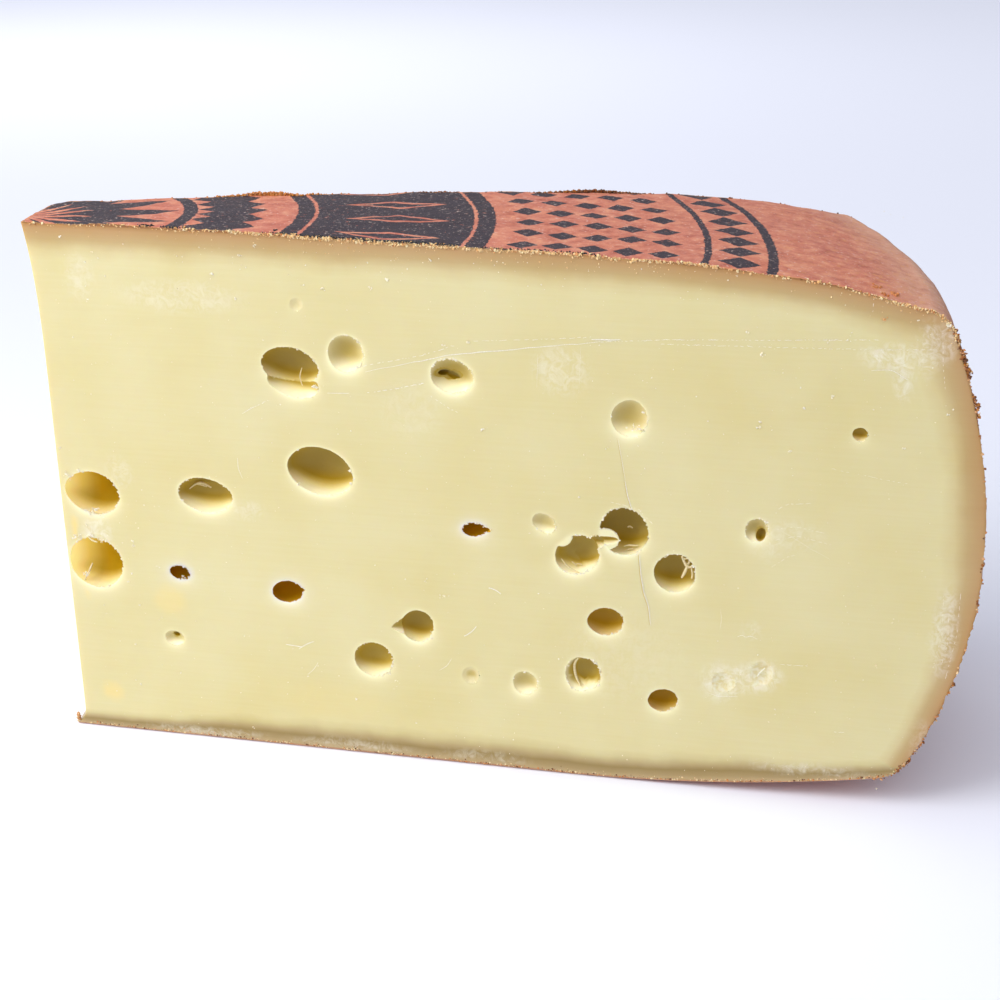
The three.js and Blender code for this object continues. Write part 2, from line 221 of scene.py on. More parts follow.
# Small pits inside dimples, lumps of paste that stand into the mouths of the pair, and the groove
# between the two: x, z, width, height, middle depth, whole depth and tilt.
PITS = [(172.3, 180.8, 6.2, 2.7, 5.2, 4.5, 2), (176.6, 179.7, 6.6, 2.7, 5.2, 4.5, 24),
        (48.8, 50.8, 3.0, 2.8, 1.4, 4.4, 0), (304.4, 120.2, 4.2, 6.2, 3.0, 6.6, 14)]
LUMPS = [(241.2, 114.1, 11.4, 9.2, 0, 8, 0), (223.0, 113.8, 8.6, 8.6, 0, 16, 0)]
GROOVES = [(240.4, 113.6, 12.8, 3.5, 0, 6, -4), (237.6, 112.6, 7.0, 5.8, 0, 8, -10)]
print(len(EYES), "eyes in the front cut")

# %% [markdown]
# The back cut is out of sight, so its eyes are set by a rule, the same one as in the packed
# model: a small repeatable generator draws a size and a place, and keeps the eye if it is clear
# of the others.

# %% Eyes of the back cut
BACK_EYES, BACK_SIZE, BACK_MARGIN, BACK_SPACING, BACK_SEED = 13, (9, 27), 34, 0.75, 20
WORD = 2**32


def repeatable(seed):
    """A small random generator that gives the same draws anywhere."""
    state = seed
    while True:
        state = (state + 0x6D2B79F5) % WORD
        t = (state ^ (state >> 15)) * (1 | state) % WORD
        t = ((t + (t ^ (t >> 7)) * (61 | t)) % WORD) ^ t
        yield (t ^ (t >> 14)) / WORD


def back_eyes():
    draws = repeatable(BACK_SEED)
    placed = []
    while len(placed) < BACK_EYES:
        w = mix(*BACK_SIZE, next(draws))
        x = mix(BACK_MARGIN, RADIUS - 2 * BACK_MARGIN, next(draws))
        z = mix(BACK_MARGIN, HEIGHT - BACK_MARGIN, next(draws))
        h = w * mix(0.7, 1, next(draws))
        eye = (x, z, w, h, mix(-0.5, 0.5, next(draws)), mix(-20, 20, next(draws)))
        if all(math.hypot(x - o[0], z - o[1]) > (w + o[2]) * BACK_SPACING for o in placed):
            placed.append(eye)
    return placed


print("first back eye", [round(v, 1) for v in back_eyes()[0]])

# %% [markdown]
# ## Small helpers for materials
# Cheese colours are picked as they look on screen, as hex values, and Blender mixes light in
# linear values, so one function turns the first into the second. One more adds a shader node
# with its settings and links, which keeps each material readable as a list of steps. An input
# takes a number, a colour, another node, or the name of a number that the mesh holds on its
# vertices.

# %% Colour and nodes
OVER = {"data_type": "RGBA"}  # settings of a Mix node that lays one colour over another
TIMES = {"data_type": "RGBA", "blend_type": "MULTIPLY"}
SMOOTH = {"interpolation_type": "SMOOTHSTEP"}


def linear(hex_colour):
    """An sRGB hex colour as linear red, green, blue and alpha."""
    parts = [int(hex_colour[i : i + 2], 16) / 255 for i in (1, 3, 5)]
    return tuple(p / 12.92 if p <= 0.04045 else ((p + 0.055) / 1.055) ** 2.4 for p in parts) + (1,)


def feed(tree, made, inputs):
    """Links or sets the inputs of a node."""
    for key, value in inputs.items():
        if isinstance(value, str) and value[0] == "#":
            value = linear(value)
        elif isinstance(value, str):
            value = node(tree, "Attribute", attribute_name=value).outputs["Fac"]
        elif isinstance(value, bpy.types.Node):
            value = next(output for output in value.outputs if output.enabled)
        if isinstance(value, bpy.types.NodeSocket):
            tree.links.new(value, made.inputs[key])
        else:
            made.inputs[key].default_value = value


def node(tree, kind, inputs=None, stops=(), **settings):
    """Adds a shader node with its settings, its inputs and the hex stops of its ramp."""
    made = tree.nodes.new("ShaderNode" + kind)
    for name, value in settings.items():
        setattr(made, name, value)
    feed(tree, made, inputs or {})
    for i, (place, colour) in enumerate(stops):
        keys = made.color_ramp.elements
        key = keys[i] if i < 2 else keys.new(place)
        key.position, key.color = place, linear(colour)
    return made


# %% [markdown]
# Every finish here starts from the same three steps: a new material, coordinates in the
# millimetres that the shapes use, and at the end a shader that scatters light a little under
# its surface, because paste, rind and crumbs all do.


# %% What the finishes share
def new_material(name):
    """A node material with its shader ready to take colour, roughness and bump."""
    material = bpy.data.materials.new(name)
    material.use_nodes = True
    tree = material.node_tree
    return material, tree, tree.nodes["Principled BSDF"]


def face_coordinates(tree):
    """Millimetres from the corner of the cut face, as the shapes use."""
    place = node(tree, "TexCoord").outputs["Object"]
    moved = node(tree, "VectorMath", {0: place, 1: CORNER}, operation="SUBTRACT")
    return node(tree, "VectorMath", {0: moved, "Scale": 1 / MM}, operation="SCALE")


def finish(tree, shader, colour, height, bump, roughness, scatter, scatter_reach):
    """Gives the shader its colour, its bump and the numbers that are the same all over."""
    raised = {"Height": height, "Strength": bump[0], "Distance": bump[1] * MM}
    feed(tree, shader, {
        "Base Color": colour, "Normal": node(tree, "Bump", raised),
        "Roughness": roughness, "IOR": 1.45, "Subsurface Weight": scatter,
        "Subsurface Radius": (1.0, 0.7, 0.28), "Subsurface Scale": scatter_reach * MM})


# %% [markdown]
# ## Cut paste
# The paste of a hard cheese is a firm, slightly moist gel of protein and fat. A knife leaves it
# smooth but not shiny, and light sinks in a few millimetres, which softens every edge. Under the
# rind it dried out and went brown over about a centimetre. Each vertex holds its depth under
# the rind, so the brown band is a ramp on that depth, made uneven by noise. The underside dried
# on its board and is greyer, so it has its own ramp.

# %% Material: cut paste
SKIN_REACH = 16  # mm of depth under the rind that the ramps cover
THIN, THICK = 0.72, 1.35  # shares between which the depth of the dried layer wanders
cut_paste, tree, shader = new_material("cut_paste")
place = face_coordinates(tree)
drift = node(tree, "TexNoise", {"Vector": place, "Scale": 0.035, "Detail": 3, "Roughness": 0.6})
wobble = node(tree, "MapRange", {0: drift, 3: THIN / SKIN_REACH, 4: THICK / SKIN_REACH})
bands = []
for depth, stops in (
    ("skin", ((0.0, "#84562E"), (0.04, "#AF8552"), (0.14, "#BB9664"), (0.42, "#C0A573"),
              (0.68, "#D3C492"), (0.95, "#DAD0A0"))),
    ("under", ((0.0, "#B0705E"), (0.07, "#BDA67C"), (0.18, "#AB9467"), (0.36, "#98824F"),
               (0.52, "#B5A174"), (0.72, "#CFC391"), (0.95, "#DAD0A0"))),
):
    share = node(tree, "Math", {0: depth, 1: wobble}, operation="MULTIPLY")
    bands.append(node(tree, "ValToRGB", {0: share}, stops=stops))
darker = {"data_type": "RGBA", "blend_type": "DARKEN"}
colour = node(tree, "Mix", {0: 1.0, 6: bands[0], 7: bands[1]}, **darker)
cloud = node(tree, "TexNoise", {"Vector": place, "Scale": 0.02, "Detail": 3})
tint = node(tree, "ValToRGB", {0: cloud}, stops=((0.3, "#FFFFFF"), (0.7, "#FAF6E6")))
colour = node(tree, "Mix", {0: 1.0, 6: colour, 7: tint}, **TIMES)
print("two bands,", len(tree.nodes), "nodes")

# %% [markdown]
# The knife dragged over the paste and left fine level strokes, and here and there a whitish
# smear of fat, streaked in the direction of the stroke. Under an eye's mouth the paste is thin and
# lets light through; that light is painted in as a yellower, brighter glow, and small mouths get a
# painted pale rim. A few spots are a warmer yellow.

# %% Strokes and smears
level = node(tree, "Mapping", {"Vector": place, "Scale": (0.03, 1, 0.8)})
strokes = node(tree, "TexNoise", {"Vector": level, "Scale": 0.9, "Detail": 5, "Roughness": 0.6})
faint = node(tree, "ValToRGB", {0: strokes}, stops=((0.3, "#FDFCF8"), (0.65, "#FFFFFF")))
colour = node(tree, "Mix", {0: 1.0, 6: colour, 7: faint}, **TIMES)
# Warm spots are the paste's own colour; the glow under the mouths and the pale rim round small
# mouths are painted light.
for share, over in (("warm", "#E9CF7E"), ("glow", "#FFFAD0"), ("halo", "#EFE9EA")):
    colour = node(tree, "Mix", {0: share, 6: colour, 7: over}, **OVER)
upright = node(tree, "Mapping", {"Vector": place, "Scale": (0.9, 1, 0.07)})
streaks = node(tree, "TexNoise", {"Vector": upright, "Scale": 0.8, "Detail": 4, "Roughness": 0.6})
patchy = {"Vector": place, "Scale": 0.22, "Detail": 9, "Roughness": 0.72, "Distortion": 1.2}
patches = node(tree, "TexNoise", patchy)
both = node(tree, "Math", {0: streaks, 1: 0.15, 2: patches}, operation="MULTIPLY_ADD")
streaky = node(tree, "MapRange", {0: both, 1: 0.45, 2: 0.74, 4: 0.7}, **SMOOTH)
white = node(tree, "Math", {0: "smear", 1: streaky}, operation="MULTIPLY")
colour = node(tree, "Mix", {0: white, 6: colour, 7: "#EDE8D8"}, **OVER)
grain = node(tree, "TexNoise", {"Vector": place, "Scale": 0.9, "Detail": 6, "Roughness": 0.65})
relief = node(tree, "Math", {0: strokes, 1: grain}, operation="ADD")
finish(tree, shader, colour, relief, (0.05, 0.3), roughness=0.42, scatter=0.45, scatter_reach=6)
print("made", cut_paste.name)

# %% [markdown]
# ## Eye wall
# The wall of an eye was never cut. It is smooth and faintly moist, a little darker than the cut
# paste, and is painted browner and more golden deep inside: painted shade for the light that has
# bounced through paste several times there. Each vertex holds its depth in the eye, and a ramp
# follows it. The floor of an eye, which faces up to the light, is painted paler than its roof as
# painted light, and a second number tells them apart. A third says how thin the wall is near the
# tip, where painted colour and a faint painted glow stand in for daylight coming through.

# %% Material: eye wall
EYE_REACH = 14.0  # mm of depth in an eye that the ramps cover
# Painted light: the tip's daylight is painted into the wall, on its floor at this share.
FLOOR_LIT = 0.25  # share of the daylight from the tip that shows on the floor of an eye
eye_wall, tree, shader = new_material("eye_wall")
place = face_coordinates(tree)
# Painted shade: the wall is painted browner and more golden with depth in the eye.
share = node(tree, "Math", {0: "depth", 1: EYE_REACH}, operation="DIVIDE")
# Painted light: near the tip the wall is painted towards bright yellow, for daylight through the
# thin paste.
through = node(tree, "ValToRGB", {0: "thin"}, stops=(
    (0.2, "#A27E06"), (0.5, "#D0A214"), (0.78, "#ECCF5A"), (1.0, "#F9F0BC")))
lit = node(tree, "MapRange", {0: "thin", 1: 0.0, 2: 0.22})
floor_lit = node(tree, "Math", {0: lit, 1: FLOOR_LIT}, operation="MULTIPLY")
walls = []
# Lit and shaded copies of the wall: the roof ramp is painted shade, the floor ramp is painted
# light.
for daylight, stops in (
    (lit, ((0.0, "#DCCF9E"), (0.14, "#CFBE82"), (0.34, "#BFA75C"), (0.6, "#B6983A"),
           (1.0, "#B29A50"))),
    (floor_lit, ((0.0, "#FFF6D0"), (0.24, "#F9EEC0"), (0.46, "#E8D68E"), (0.6, "#CDB158"),
                 (0.76, "#A88613"), (1.0, "#A08018"))),
):
    wall = node(tree, "ValToRGB", {0: share}, stops=stops)
    walls.append(node(tree, "Mix", {0: daylight, 6: wall, 7: through}, **OVER))
# Painted light: walls that face up take the paler floor ramp.
colour = node(tree, "Mix", {0: "floor", 6: walls[0], 7: walls[1]}, **OVER)
# Painted shade: hardly open eyes are painted dark golden inside.
colour = node(tree, "Mix", {0: "closed", 6: colour, 7: "#D2A112"}, **OVER)
lumps = node(tree, "TexNoise", {"Vector": place, "Scale": 0.5, "Detail": 4})
torn = node(tree, "MapRange", {0: lumps, 1: 0.36, 2: 0.64}, **SMOOTH)
torn = node(tree, "Math", {0: torn, 1: "smear"}, operation="MULTIPLY")
colour = node(tree, "Mix", {0: torn, 6: colour, 7: "#E4DDBE"}, **OVER)
finish(tree, shader, colour, lumps, (0.3, 0.4), roughness=0.6, scatter=0.35, scatter_reach=6)
# Painted glow: a faint emission near the tip stands in for daylight through the thin wall.
feed(tree, shader, {
    "Specular IOR Level": 0.06, "Emission Color": "#EFDC84",
    "Emission Strength": node(tree, "MapRange", {0: "thin", 1: 0.6, 2: 0.95, 4: 0.32})})
print("made", eye_wall.name)

# %% [markdown]
# ## Rind
# The rind is the dried, washed skin of the wheel: matt, terracotta, mottled and flecked with white
# bloom, and painted paler towards the rim, a painted sheen where the rind turns over. The top
# carries a dark food ink print that goes round the wheel's axis. This one is a plain pattern of
# rings, lozenges and a zigzag, drawn from two numbers, the distance from the axis and the angle
# round it, so it stays sharp at any size.
# A few small functions make the simplest marks, and the ink is wherever one of them is 1.


# %% Marks of the print
def ring(tree, radius, low, high):
    """1 between two radii, in mm."""
    band = {0: radius, 1: (low + high) / 2, 2: (high - low) / 2}
    return node(tree, "Math", band, operation="COMPARE")


def swing(tree, angle, count):
    """0 at this many even places round the wheel, and 0.5 half way between them."""
    turn = node(tree, "Math", {0: angle, 1: count / math.tau}, operation="MULTIPLY")
    return node(tree, "Math", {0: turn, 1: 0.5}, operation="PINGPONG")


def zigzag(tree, radius, angle, count, height):
    """The radius, swung in and out by a height in mm this many times round the wheel."""
    swung = {0: swing(tree, angle, count), 1: 2 * height, 2: radius}
    return node(tree, "Math", swung, operation="MULTIPLY_ADD")


def lozenges(tree, radius, angle, count, at, long, wide):
    """1 inside lozenges in a ring: its radius, and their length and width in mm."""
    across = {0: swing(tree, angle, count), 1: math.tau * at / count / (wide / 2)}
    across = node(tree, "Math", across, operation="MULTIPLY")
    away = node(tree, "Math", {0: radius, 1: at}, operation="SUBTRACT")
    away = node(tree, "Math", {0: away}, operation="ABSOLUTE")
    total = node(tree, "Math", {0: away, 1: 2 / long, 2: across}, operation="MULTIPLY_ADD")
    return node(tree, "Math", {0: total, 1: 1.0}, operation="LESS_THAN")


# %% [markdown]
# The ink was rolled on an uneven skin, so its edges wander by a fraction of a millimetre and it
# is thin or missing in places. The radius is nudged by noise before any mark is drawn, and a
# second noise wears the ink away.

# %% Material: washed rind
ROW_COUNTS = {213: 68, 227: 72, 241: 76, 255: 80, 269: 84}  # lozenges in the fine rows
rind, tree, shader = new_material("washed_rind")
place = face_coordinates(tree)
from_wheel = node(tree, "VectorMath", {0: place, 1: (AXIS.x, AXIS.y, 0)}, operation="SUBTRACT")
split = node(tree, "SeparateXYZ", {0: from_wheel})
flat = node(tree, "CombineXYZ", {0: split.outputs["X"], 1: split.outputs["Y"]})
true_radius = node(tree, "VectorMath", {0: flat}, operation="LENGTH")
angle = node(tree, "Math", {0: split.outputs["Y"], 1: split.outputs["X"]}, operation="ARCTAN2")
wander = node(tree, "TexNoise", {"Vector": place, "Scale": 0.5, "Detail": 4, "Roughness": 0.7})
radius = node(tree, "Math", {0: wander, 1: 3.0, 2: true_radius}, operation="MULTIPLY_ADD")
ink = ring(tree, radius, 116, 199)
for mark in (lozenges(tree, radius, angle, 36, 158, 44, 13), ring(tree, radius, 123, 124.5),
             ring(tree, radius, 190, 191.5)):  # left bare in the dark ring
    ink = node(tree, "Math", {0: ink, 1: mark}, operation="GREATER_THAN")
rows = [lozenges(tree, radius, angle, count, at, 12.5, 13) for at, count in ROW_COUNTS.items()]
for mark in (lozenges(tree, radius, angle, 18, 36, 60, 15), ring(tree, radius, 68, 74),
             ring(tree, zigzag(tree, radius, angle, 44, 7), 81, 103),
             lozenges(tree, radius, angle, 36, 158, 34, 8), *rows, ring(tree, radius, 284, 287),
             lozenges(tree, radius, angle, 104, 298, 17, 17), ring(tree, radius, 309, 313)):
    ink = node(tree, "Math", {0: ink, 1: mark}, operation="MAXIMUM")
wear = node(tree, "TexNoise", {"Vector": place, "Scale": 0.33, "Detail": 8, "Roughness": 0.78})
kept = node(tree, "MapRange", {0: wear, 1: 0.31, 2: 0.41, 4: 0.97}, **SMOOTH)
on_top = node(tree, "MapRange", {0: split.outputs["Z"], 1: 150.0, 2: 170.0})
cover = node(tree, "Math", {0: ink, 1: kept}, operation="MULTIPLY")
cover = node(tree, "Math", {0: cover, 1: on_top}, operation="MULTIPLY")
print("the print uses", len(tree.nodes), "nodes")

# %% [markdown]
# Under the ink the skin is mottled at three scales: broad stains, blotches of a few millimetres
# and fine grain. Towards the rim it is painted paler and yellower, a painted sheen where the rind
# turns over; the heel is browner, and where the knife tore its edge the light paste shows through.

# %% Skin of the rind
stains = node(tree, "TexNoise", {"Vector": place, "Scale": 0.022, "Detail": 3, "Roughness": 0.5})
blotches = node(tree, "TexNoise", {"Vector": place, "Scale": 0.16, "Detail": 8, "Roughness": 0.68})
skin = node(tree, "ValToRGB", {0: blotches}, stops=(
    (0.3, "#AB5F46"), (0.46, "#C97D66"), (0.57, "#D58F74"), (0.66, "#DFA281"), (0.8, "#E9BB92")))
stained = node(tree, "ValToRGB", {0: stains}, stops=((0.35, "#FFF4E8"), (0.65, "#F6E4E0")))
colour = node(tree, "Mix", {0: 1.0, 6: skin, 7: stained}, **TIMES)
# Painted sheen: the rind is painted paler towards the rim, where it turns over.
rim_sheen = node(tree, "MapRange", {0: true_radius, 1: 345.0, 2: 377.0, 4: 1.5}, **SMOOTH)
rim_sheen = node(tree, "Math", {0: rim_sheen, 1: blotches}, operation="MULTIPLY")
specks = node(tree, "TexNoise", {"Vector": place, "Scale": 0.42, "Detail": 5, "Roughness": 0.7})
ochre = node(tree, "MapRange", {0: specks, 1: 0.54, 2: 0.64, 4: 0.65})
outer = node(tree, "MapRange", {0: true_radius, 1: 290.0, 2: 360.0})
ochre = node(tree, "Math", {0: ochre, 1: outer}, operation="MULTIPLY")
on_heel = node(tree, "MapRange", {0: true_radius, 1: 374.0, 2: 379.0})
brown = node(tree, "ValToRGB", {0: blotches}, stops=(
    (0.3, "#8A4E26"), (0.5, "#B06C38"), (0.7, "#CC9052")))
fleck = node(tree, "TexNoise", {"Vector": place, "Scale": 0.7, "Detail": 4, "Roughness": 0.6})
bloom = node(tree, "MapRange", {0: fleck, 1: 0.6, 2: 0.7, 4: 0.65})
torn = node(tree, "MapRange", {0: "depth", 1: 0.2, 2: 1.6, 3: 1.0, 4: 0.0})
ragged = node(tree, "MapRange", {0: wander, 1: 0.42, 2: 0.56})
torn = node(tree, "Math", {0: torn, 1: ragged}, operation="MULTIPLY")
for share, over in ((rim_sheen, "#D6A688"), (ochre, "#D79A55"), (on_heel, brown), (cover, "#22222C"),
                    (bloom, "#E9D2C4"), (torn, "#DB9C62")):
    colour = node(tree, "Mix", {0: share, 6: colour, 7: over}, **OVER)
height = node(tree, "Math", {0: blotches, 1: 0.6, 2: wear}, operation="MULTIPLY_ADD")
finish(tree, shader, colour, height, (0.6, 0.7), roughness=0.6, scatter=0.06, scatter_reach=2)
print("made", rind.name)

# %% [markdown]
# ## The block
# The body is one closed mesh. It starts as a cube whose edges are subdivided into a fine grid,
# and block_point moves every grid point to its place, so the three cuts and the rind meet in
# clean edges. A spin of the wheel's section cut by planes gives the same form, but leaves one
# huge polygon on each cut, with nothing in it to dent or to colour by depth.

# %% Grid of the block
STEPS = (160, 56, 96)  # along, across and up
PASTE, WALL, RIND = 0, 1, 2  # material slots of the piece
FRONT_EASE, TOP_EASE = 1.25, 1.15  # rows crowd towards the front and the top
TOUCHES_CUT = 0.01  # mm, what counts as lying in the front cut


def grid_block():
    bm = bmesh.new()
    bmesh.ops.create_cube(bm, size=1, matrix=Matrix.Translation((0.5, 0.5, 0.5)))
    for axis, steps in enumerate(STEPS):
        lies_along = [e for e in bm.edges if abs(e.verts[0].co[axis] - e.verts[1].co[axis]) > 0.5]
        bmesh.ops.subdivide_edges(bm, edges=lies_along, cuts=steps - 1, use_grid_fill=True)
    for face in bm.faces:
        n = face.normal
        face.material_index = RIND if abs(n.z) > 0.5 or n.x > 0.5 else PASTE
    for v in bm.verts:
        a, b, c = v.co
        v.co = block_point(a, b**FRONT_EASE, 1 - (1 - c) ** TOP_EASE)
    bmesh.ops.recalc_face_normals(bm, faces=bm.faces)
    return bm


block = grid_block()
print("block", len(block.faces), "faces")

# %% [markdown]
# Around the mouth of each eye the grid has to be finer than elsewhere, so that the mouth comes
# out round and its edge can be softened. Edges close to a mouth are subdivided, twice.


# %% Finer grid round the mouths
MOUTH_BANDS, EDGE_BANDS = (4.5, 2.2), (3.5, 1.8)  # mm, each subdivided once
WIDEST = 30  # mm, more than the width of any eye


def from_mouth(eye, x, z):
    """About how far a point of the cut face is outside an eye's mouth, in mm."""
    ex, ez, w, h, _, tilt = eye
    turn = math.radians(tilt)
    dx, dz = x - ex, z - ez
    u = dx * math.cos(turn) - dz * math.sin(turn)
    v = dx * math.sin(turn) + dz * math.cos(turn)
    reach = math.hypot(u, v)
    if reach < 0.01:
        return -min(w, h) / 2
    return reach - reach / math.hypot(2 * u / w, 2 * v / h)


def refine_mouths(bm, band):
    near = []
    for e in bm.edges:
        if max(v.co.y for v in e.verts) > TOUCHES_CUT:
            continue
        x, _, z = (e.verts[0].co + e.verts[1].co) / 2
        if any(abs(x - eye[0]) < WIDEST and abs(from_mouth(eye, x, z)) < band
               for eye in EYES.values()):
            near.append(e)
    bmesh.ops.subdivide_edges(bm, edges=near, cuts=1, use_grid_fill=True)


def refine_edge(bm, band):
    """Subdivides along the line where the front cut meets the rind."""
    near = []
    for e in bm.edges:
        x, y, z = (e.verts[0].co + e.verts[1].co) / 2
        r = from_axis(x, y)
        if y < band and min(top_at(r) - z, heel_at(z) - r, z - under_at(min(r, RIM_RADIUS))) < band:
            near.append(e)
    bmesh.ops.subdivide_edges(bm, edges=near, cuts=1, use_grid_fill=True)


for band in MOUTH_BANDS:
    refine_mouths(block, band)
for band in EDGE_BANDS:
    refine_edge(block, band)
print("with fine mouths and edges", len(block.faces), "faces")

# %% [markdown]
# The rind swells and sinks a little everywhere but on its flat base, and near the cuts it is
# torn by the knife. Each point of the rind moves straight out of the surface by a few broad
# waves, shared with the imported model, and by finer noise.

# %% Relief of the rind
RIND_WAVES = [(0.3, (31, -43, 60), 1.3), (0.25, (-52, 24, 27), 0.4),
              (0.16, (7.3, 8.7, 9.1), 2.1), (0.16, (9.4, -7.6, -6.9), 4.0)]
FINE_RELIEF, FINE_SCALE = 0.28, 0.16
TEAR, TEAR_IN = 1.5, 0.6  # mm that the knife tore off along the cut, and its share inwards
TEAR_SCALES = ((1, 0.45), (0.5, 1.7))  # share and scale of the coarse and the fine tear


def rind_relief(p):
    waves = sum(h * math.sin(p.x / x + p.y / y + p.z / z + start)
                for h, (x, y, z), start in RIND_WAVES)
    return waves + FINE_RELIEF * noise.fractal(p * FINE_SCALE, 0.9, 2.2, 4)


def raise_rind(bm):
    for v in bm.verts:
        if not any(f.material_index == RIND for f in v.link_faces):
            continue
        p = Vector((v.co.x - AXIS.x, v.co.y - AXIS.y, v.co.z))
        relief = rind_relief(p) * step(0.5, 12, p.z)
        upward = step(HEEL_MIDDLE, HEIGHT - HEEL_SAG, p.z)
        out = Vector((p.x, p.y, 0)).normalized() * (1 - upward) + Vector((0, 0, upward))
        torn = sum(part * TEAR * max(0, noise.noise(v.co * scale)) for part, scale in TEAR_SCALES)
        if v.co.y < TOUCHES_CUT:
            out.y = 0
            v.co.y += torn * step(80, 200, p.z)
        near_cut = (1 - step(0, 2.5, v.co.y)) * step(0.5, 4, p.z)
        v.co += out * (relief - TEAR_IN * torn * near_cut)


raise_rind(block)


# %% [markdown]
# ## Cutting the eyes
# An eye is a lumpy ball pressed flat by the weight of the cheese. The balls are subtracted from
# the block with one Boolean. Their walls carry the eye wall material, which the Boolean keeps.

# %% Balls for the eyes
ROUNDNESS, LUMP = 0.92, 0.025
TAIL_SHARE = 0.9  # height and depth of a run at its root, of the eye's height
LUMP_SEED, BACK_SEEDS = 1, 40


def ball(bm, x, z, w, h, y, deep, tilt, seed, turn=Matrix.Identity(4)):
    """Adds a lumpy ball to a bmesh, its middle at depth y."""
    around = int(min(64, max(20, w * 2.4)))
    made = bmesh.ops.create_uvsphere(bm, u_segments=around, v_segments=around // 2, radius=1,
                                     matrix=Matrix.Rotation(math.pi / 2, 4, "X"))
    for v in made["verts"]:
        p = v.co
        v.co *= 1 + LUMP * (math.sin(2.3 * p.x + seed) * math.sin(2.9 * p.z - 2 * seed)
                            + math.sin(3.1 * p.y + seed))
    tilted = Matrix.Translation((x, y, z)) @ Matrix.Rotation(math.radians(tilt), 4, "Y")
    settle = turn @ tilted @ Matrix.Diagonal((w / 2, deep / 2, h / 2, 1))
    bmesh.ops.transform(bm, matrix=settle, verts=made["verts"])


def eye_ball(bm, eye, seed, turn=Matrix.Identity(4)):
    x, z, w, h, cut, tilt = eye
    wider = 1 / math.sqrt(1 - cut**2)
    deep = ROUNDNESS * math.sqrt(w * h) * wider
    ball(bm, x, z, w * wider, h * wider, cut * deep / 2, deep, tilt, seed, turn)


def tail_ball(bm, eye, seed, tail):
    """A run that starts in the middle of an eye and narrows evenly to a point."""
    x, z, h = eye[0], eye[1], eye[3]
    reach, angle = tail
    ball(bm, 0, 0, 2 * reach, h * TAIL_SHARE, 0, h * TAIL_SHARE, 0, seed)
    for v in bm.verts:
        out = min(0.98, max(0, v.co.x / reach))
        left = (1 - out) ** 0.25 / math.sqrt(1 + out)
        v.co.x *= 1 if v.co.x > 0 else 0.2
        v.co.y *= left
        v.co.z *= left
    settle = Matrix.Translation((x, 0, z)) @ Matrix.Rotation(math.radians(-angle), 4, "Y")
    bmesh.ops.transform(bm, matrix=settle, verts=bm.verts)


# %% [markdown]
# Every ball is a solid of its own, and each is joined to the others before the whole is
# subtracted, because some cross: an eye and its pointed run, or a dimple and the pit in it. A
# tongue of paste stands into the right eye of the pair, so it is taken out of the cutter, and
# the groove along it is put back.


# %% Subtract the eyes
def object_from(bm, name):
    """Writes a bmesh as an object with the three finishes of the cheese."""
    mesh = bpy.data.meshes.new(name)
    bm.to_mesh(mesh)
    bm.free()
    for material in (cut_paste, eye_wall, rind):
        mesh.materials.append(material)
    return add_object(name, mesh)


def cutter(name, build):
    bm = bmesh.new()
    build(bm)
    bmesh.ops.recalc_face_normals(bm, faces=bm.faces)
    for face in bm.faces:
        face.material_index = WALL
    return object_from(bm, name)


def combine(target, operation, operand):
    """Applies one Boolean and drops the operand."""
    modifier = target.modifiers.new(operation.lower(), "BOOLEAN")
    modifier.operation, modifier.solver, modifier.object = operation, "MANIFOLD", operand
    graph = bpy.context.evaluated_depsgraph_get()
    mesh = bpy.data.meshes.new_from_object(target.evaluated_get(graph))
    target.modifiers.clear()
    target.data = mesh
    bpy.data.objects.remove(operand)


# %% [markdown]
# The lumps that stand into the pair come off the cutter, and the grooves between the two go on.
# The back eyes are the same balls, mirrored and swung onto the back cut.


# %% One cutter for all eyes
def eye_cutter():
    builds = []
    for i, (name, eye) in enumerate(EYES.items()):
        builds.append(lambda bm, e=eye, i=i: eye_ball(bm, e, i + 1))
        if name in TAILS:
            builds.append(lambda bm, e=eye, i=i, t=TAILS[name]: tail_ball(bm, e, i + 1, t))
    for i, pit in enumerate(PITS):
        builds.append(lambda bm, p=pit, i=i: ball(bm, *p, i))
    whole = cutter("eyes", builds[0])
    for i, build in enumerate(builds[1:]):
        combine(whole, "UNION", cutter(f"eye_{i}", build))
    for operation, places in (("DIFFERENCE", LUMPS), ("UNION", GROOVES)):
        for place in places:
            combine(whole, operation, cutter("pair", lambda bm: ball(bm, *place, LUMP_SEED)))
    swung = Matrix.Translation((0, BACK_OFFSET, 0)) @ Matrix.Rotation(math.atan(BACK_SLOPE), 4, "Z")
    to_back = swung @ Matrix.Diagonal((1, -1, 1, 1))
    for i, eye in enumerate(back_eyes()):
        back = cutter(f"back_eye_{i}", lambda bm: eye_ball(bm, eye, i + BACK_SEEDS, to_back))
        combine(whole, "UNION", back)
    return whole


cheese = object_from(block, "emmental_piece")
combine(cheese, "DIFFERENCE", eye_cutter())
print("cheese", len(cheese.data.polygons), "faces")

# %% [markdown]
# ## What each vertex knows
# The finishes follow the form through ten numbers on each vertex. They tell its depth under the
# rind and above the underside, its depth in an eye, which sets the painted shade there, and
# whether it is floor there, which is painted lighter; how closed the eye is, which paints it dark
# inside, and how near the tip's painted daylight; and how far painted glow and a painted pale rim
# lie on the paste and how far it is smeared or warm. Tables hold what was read from the photo:
# where the knife smeared the paste, where it is yellower, which eyes are hardly open, and which
# pits get more painted shade than their depth gives.

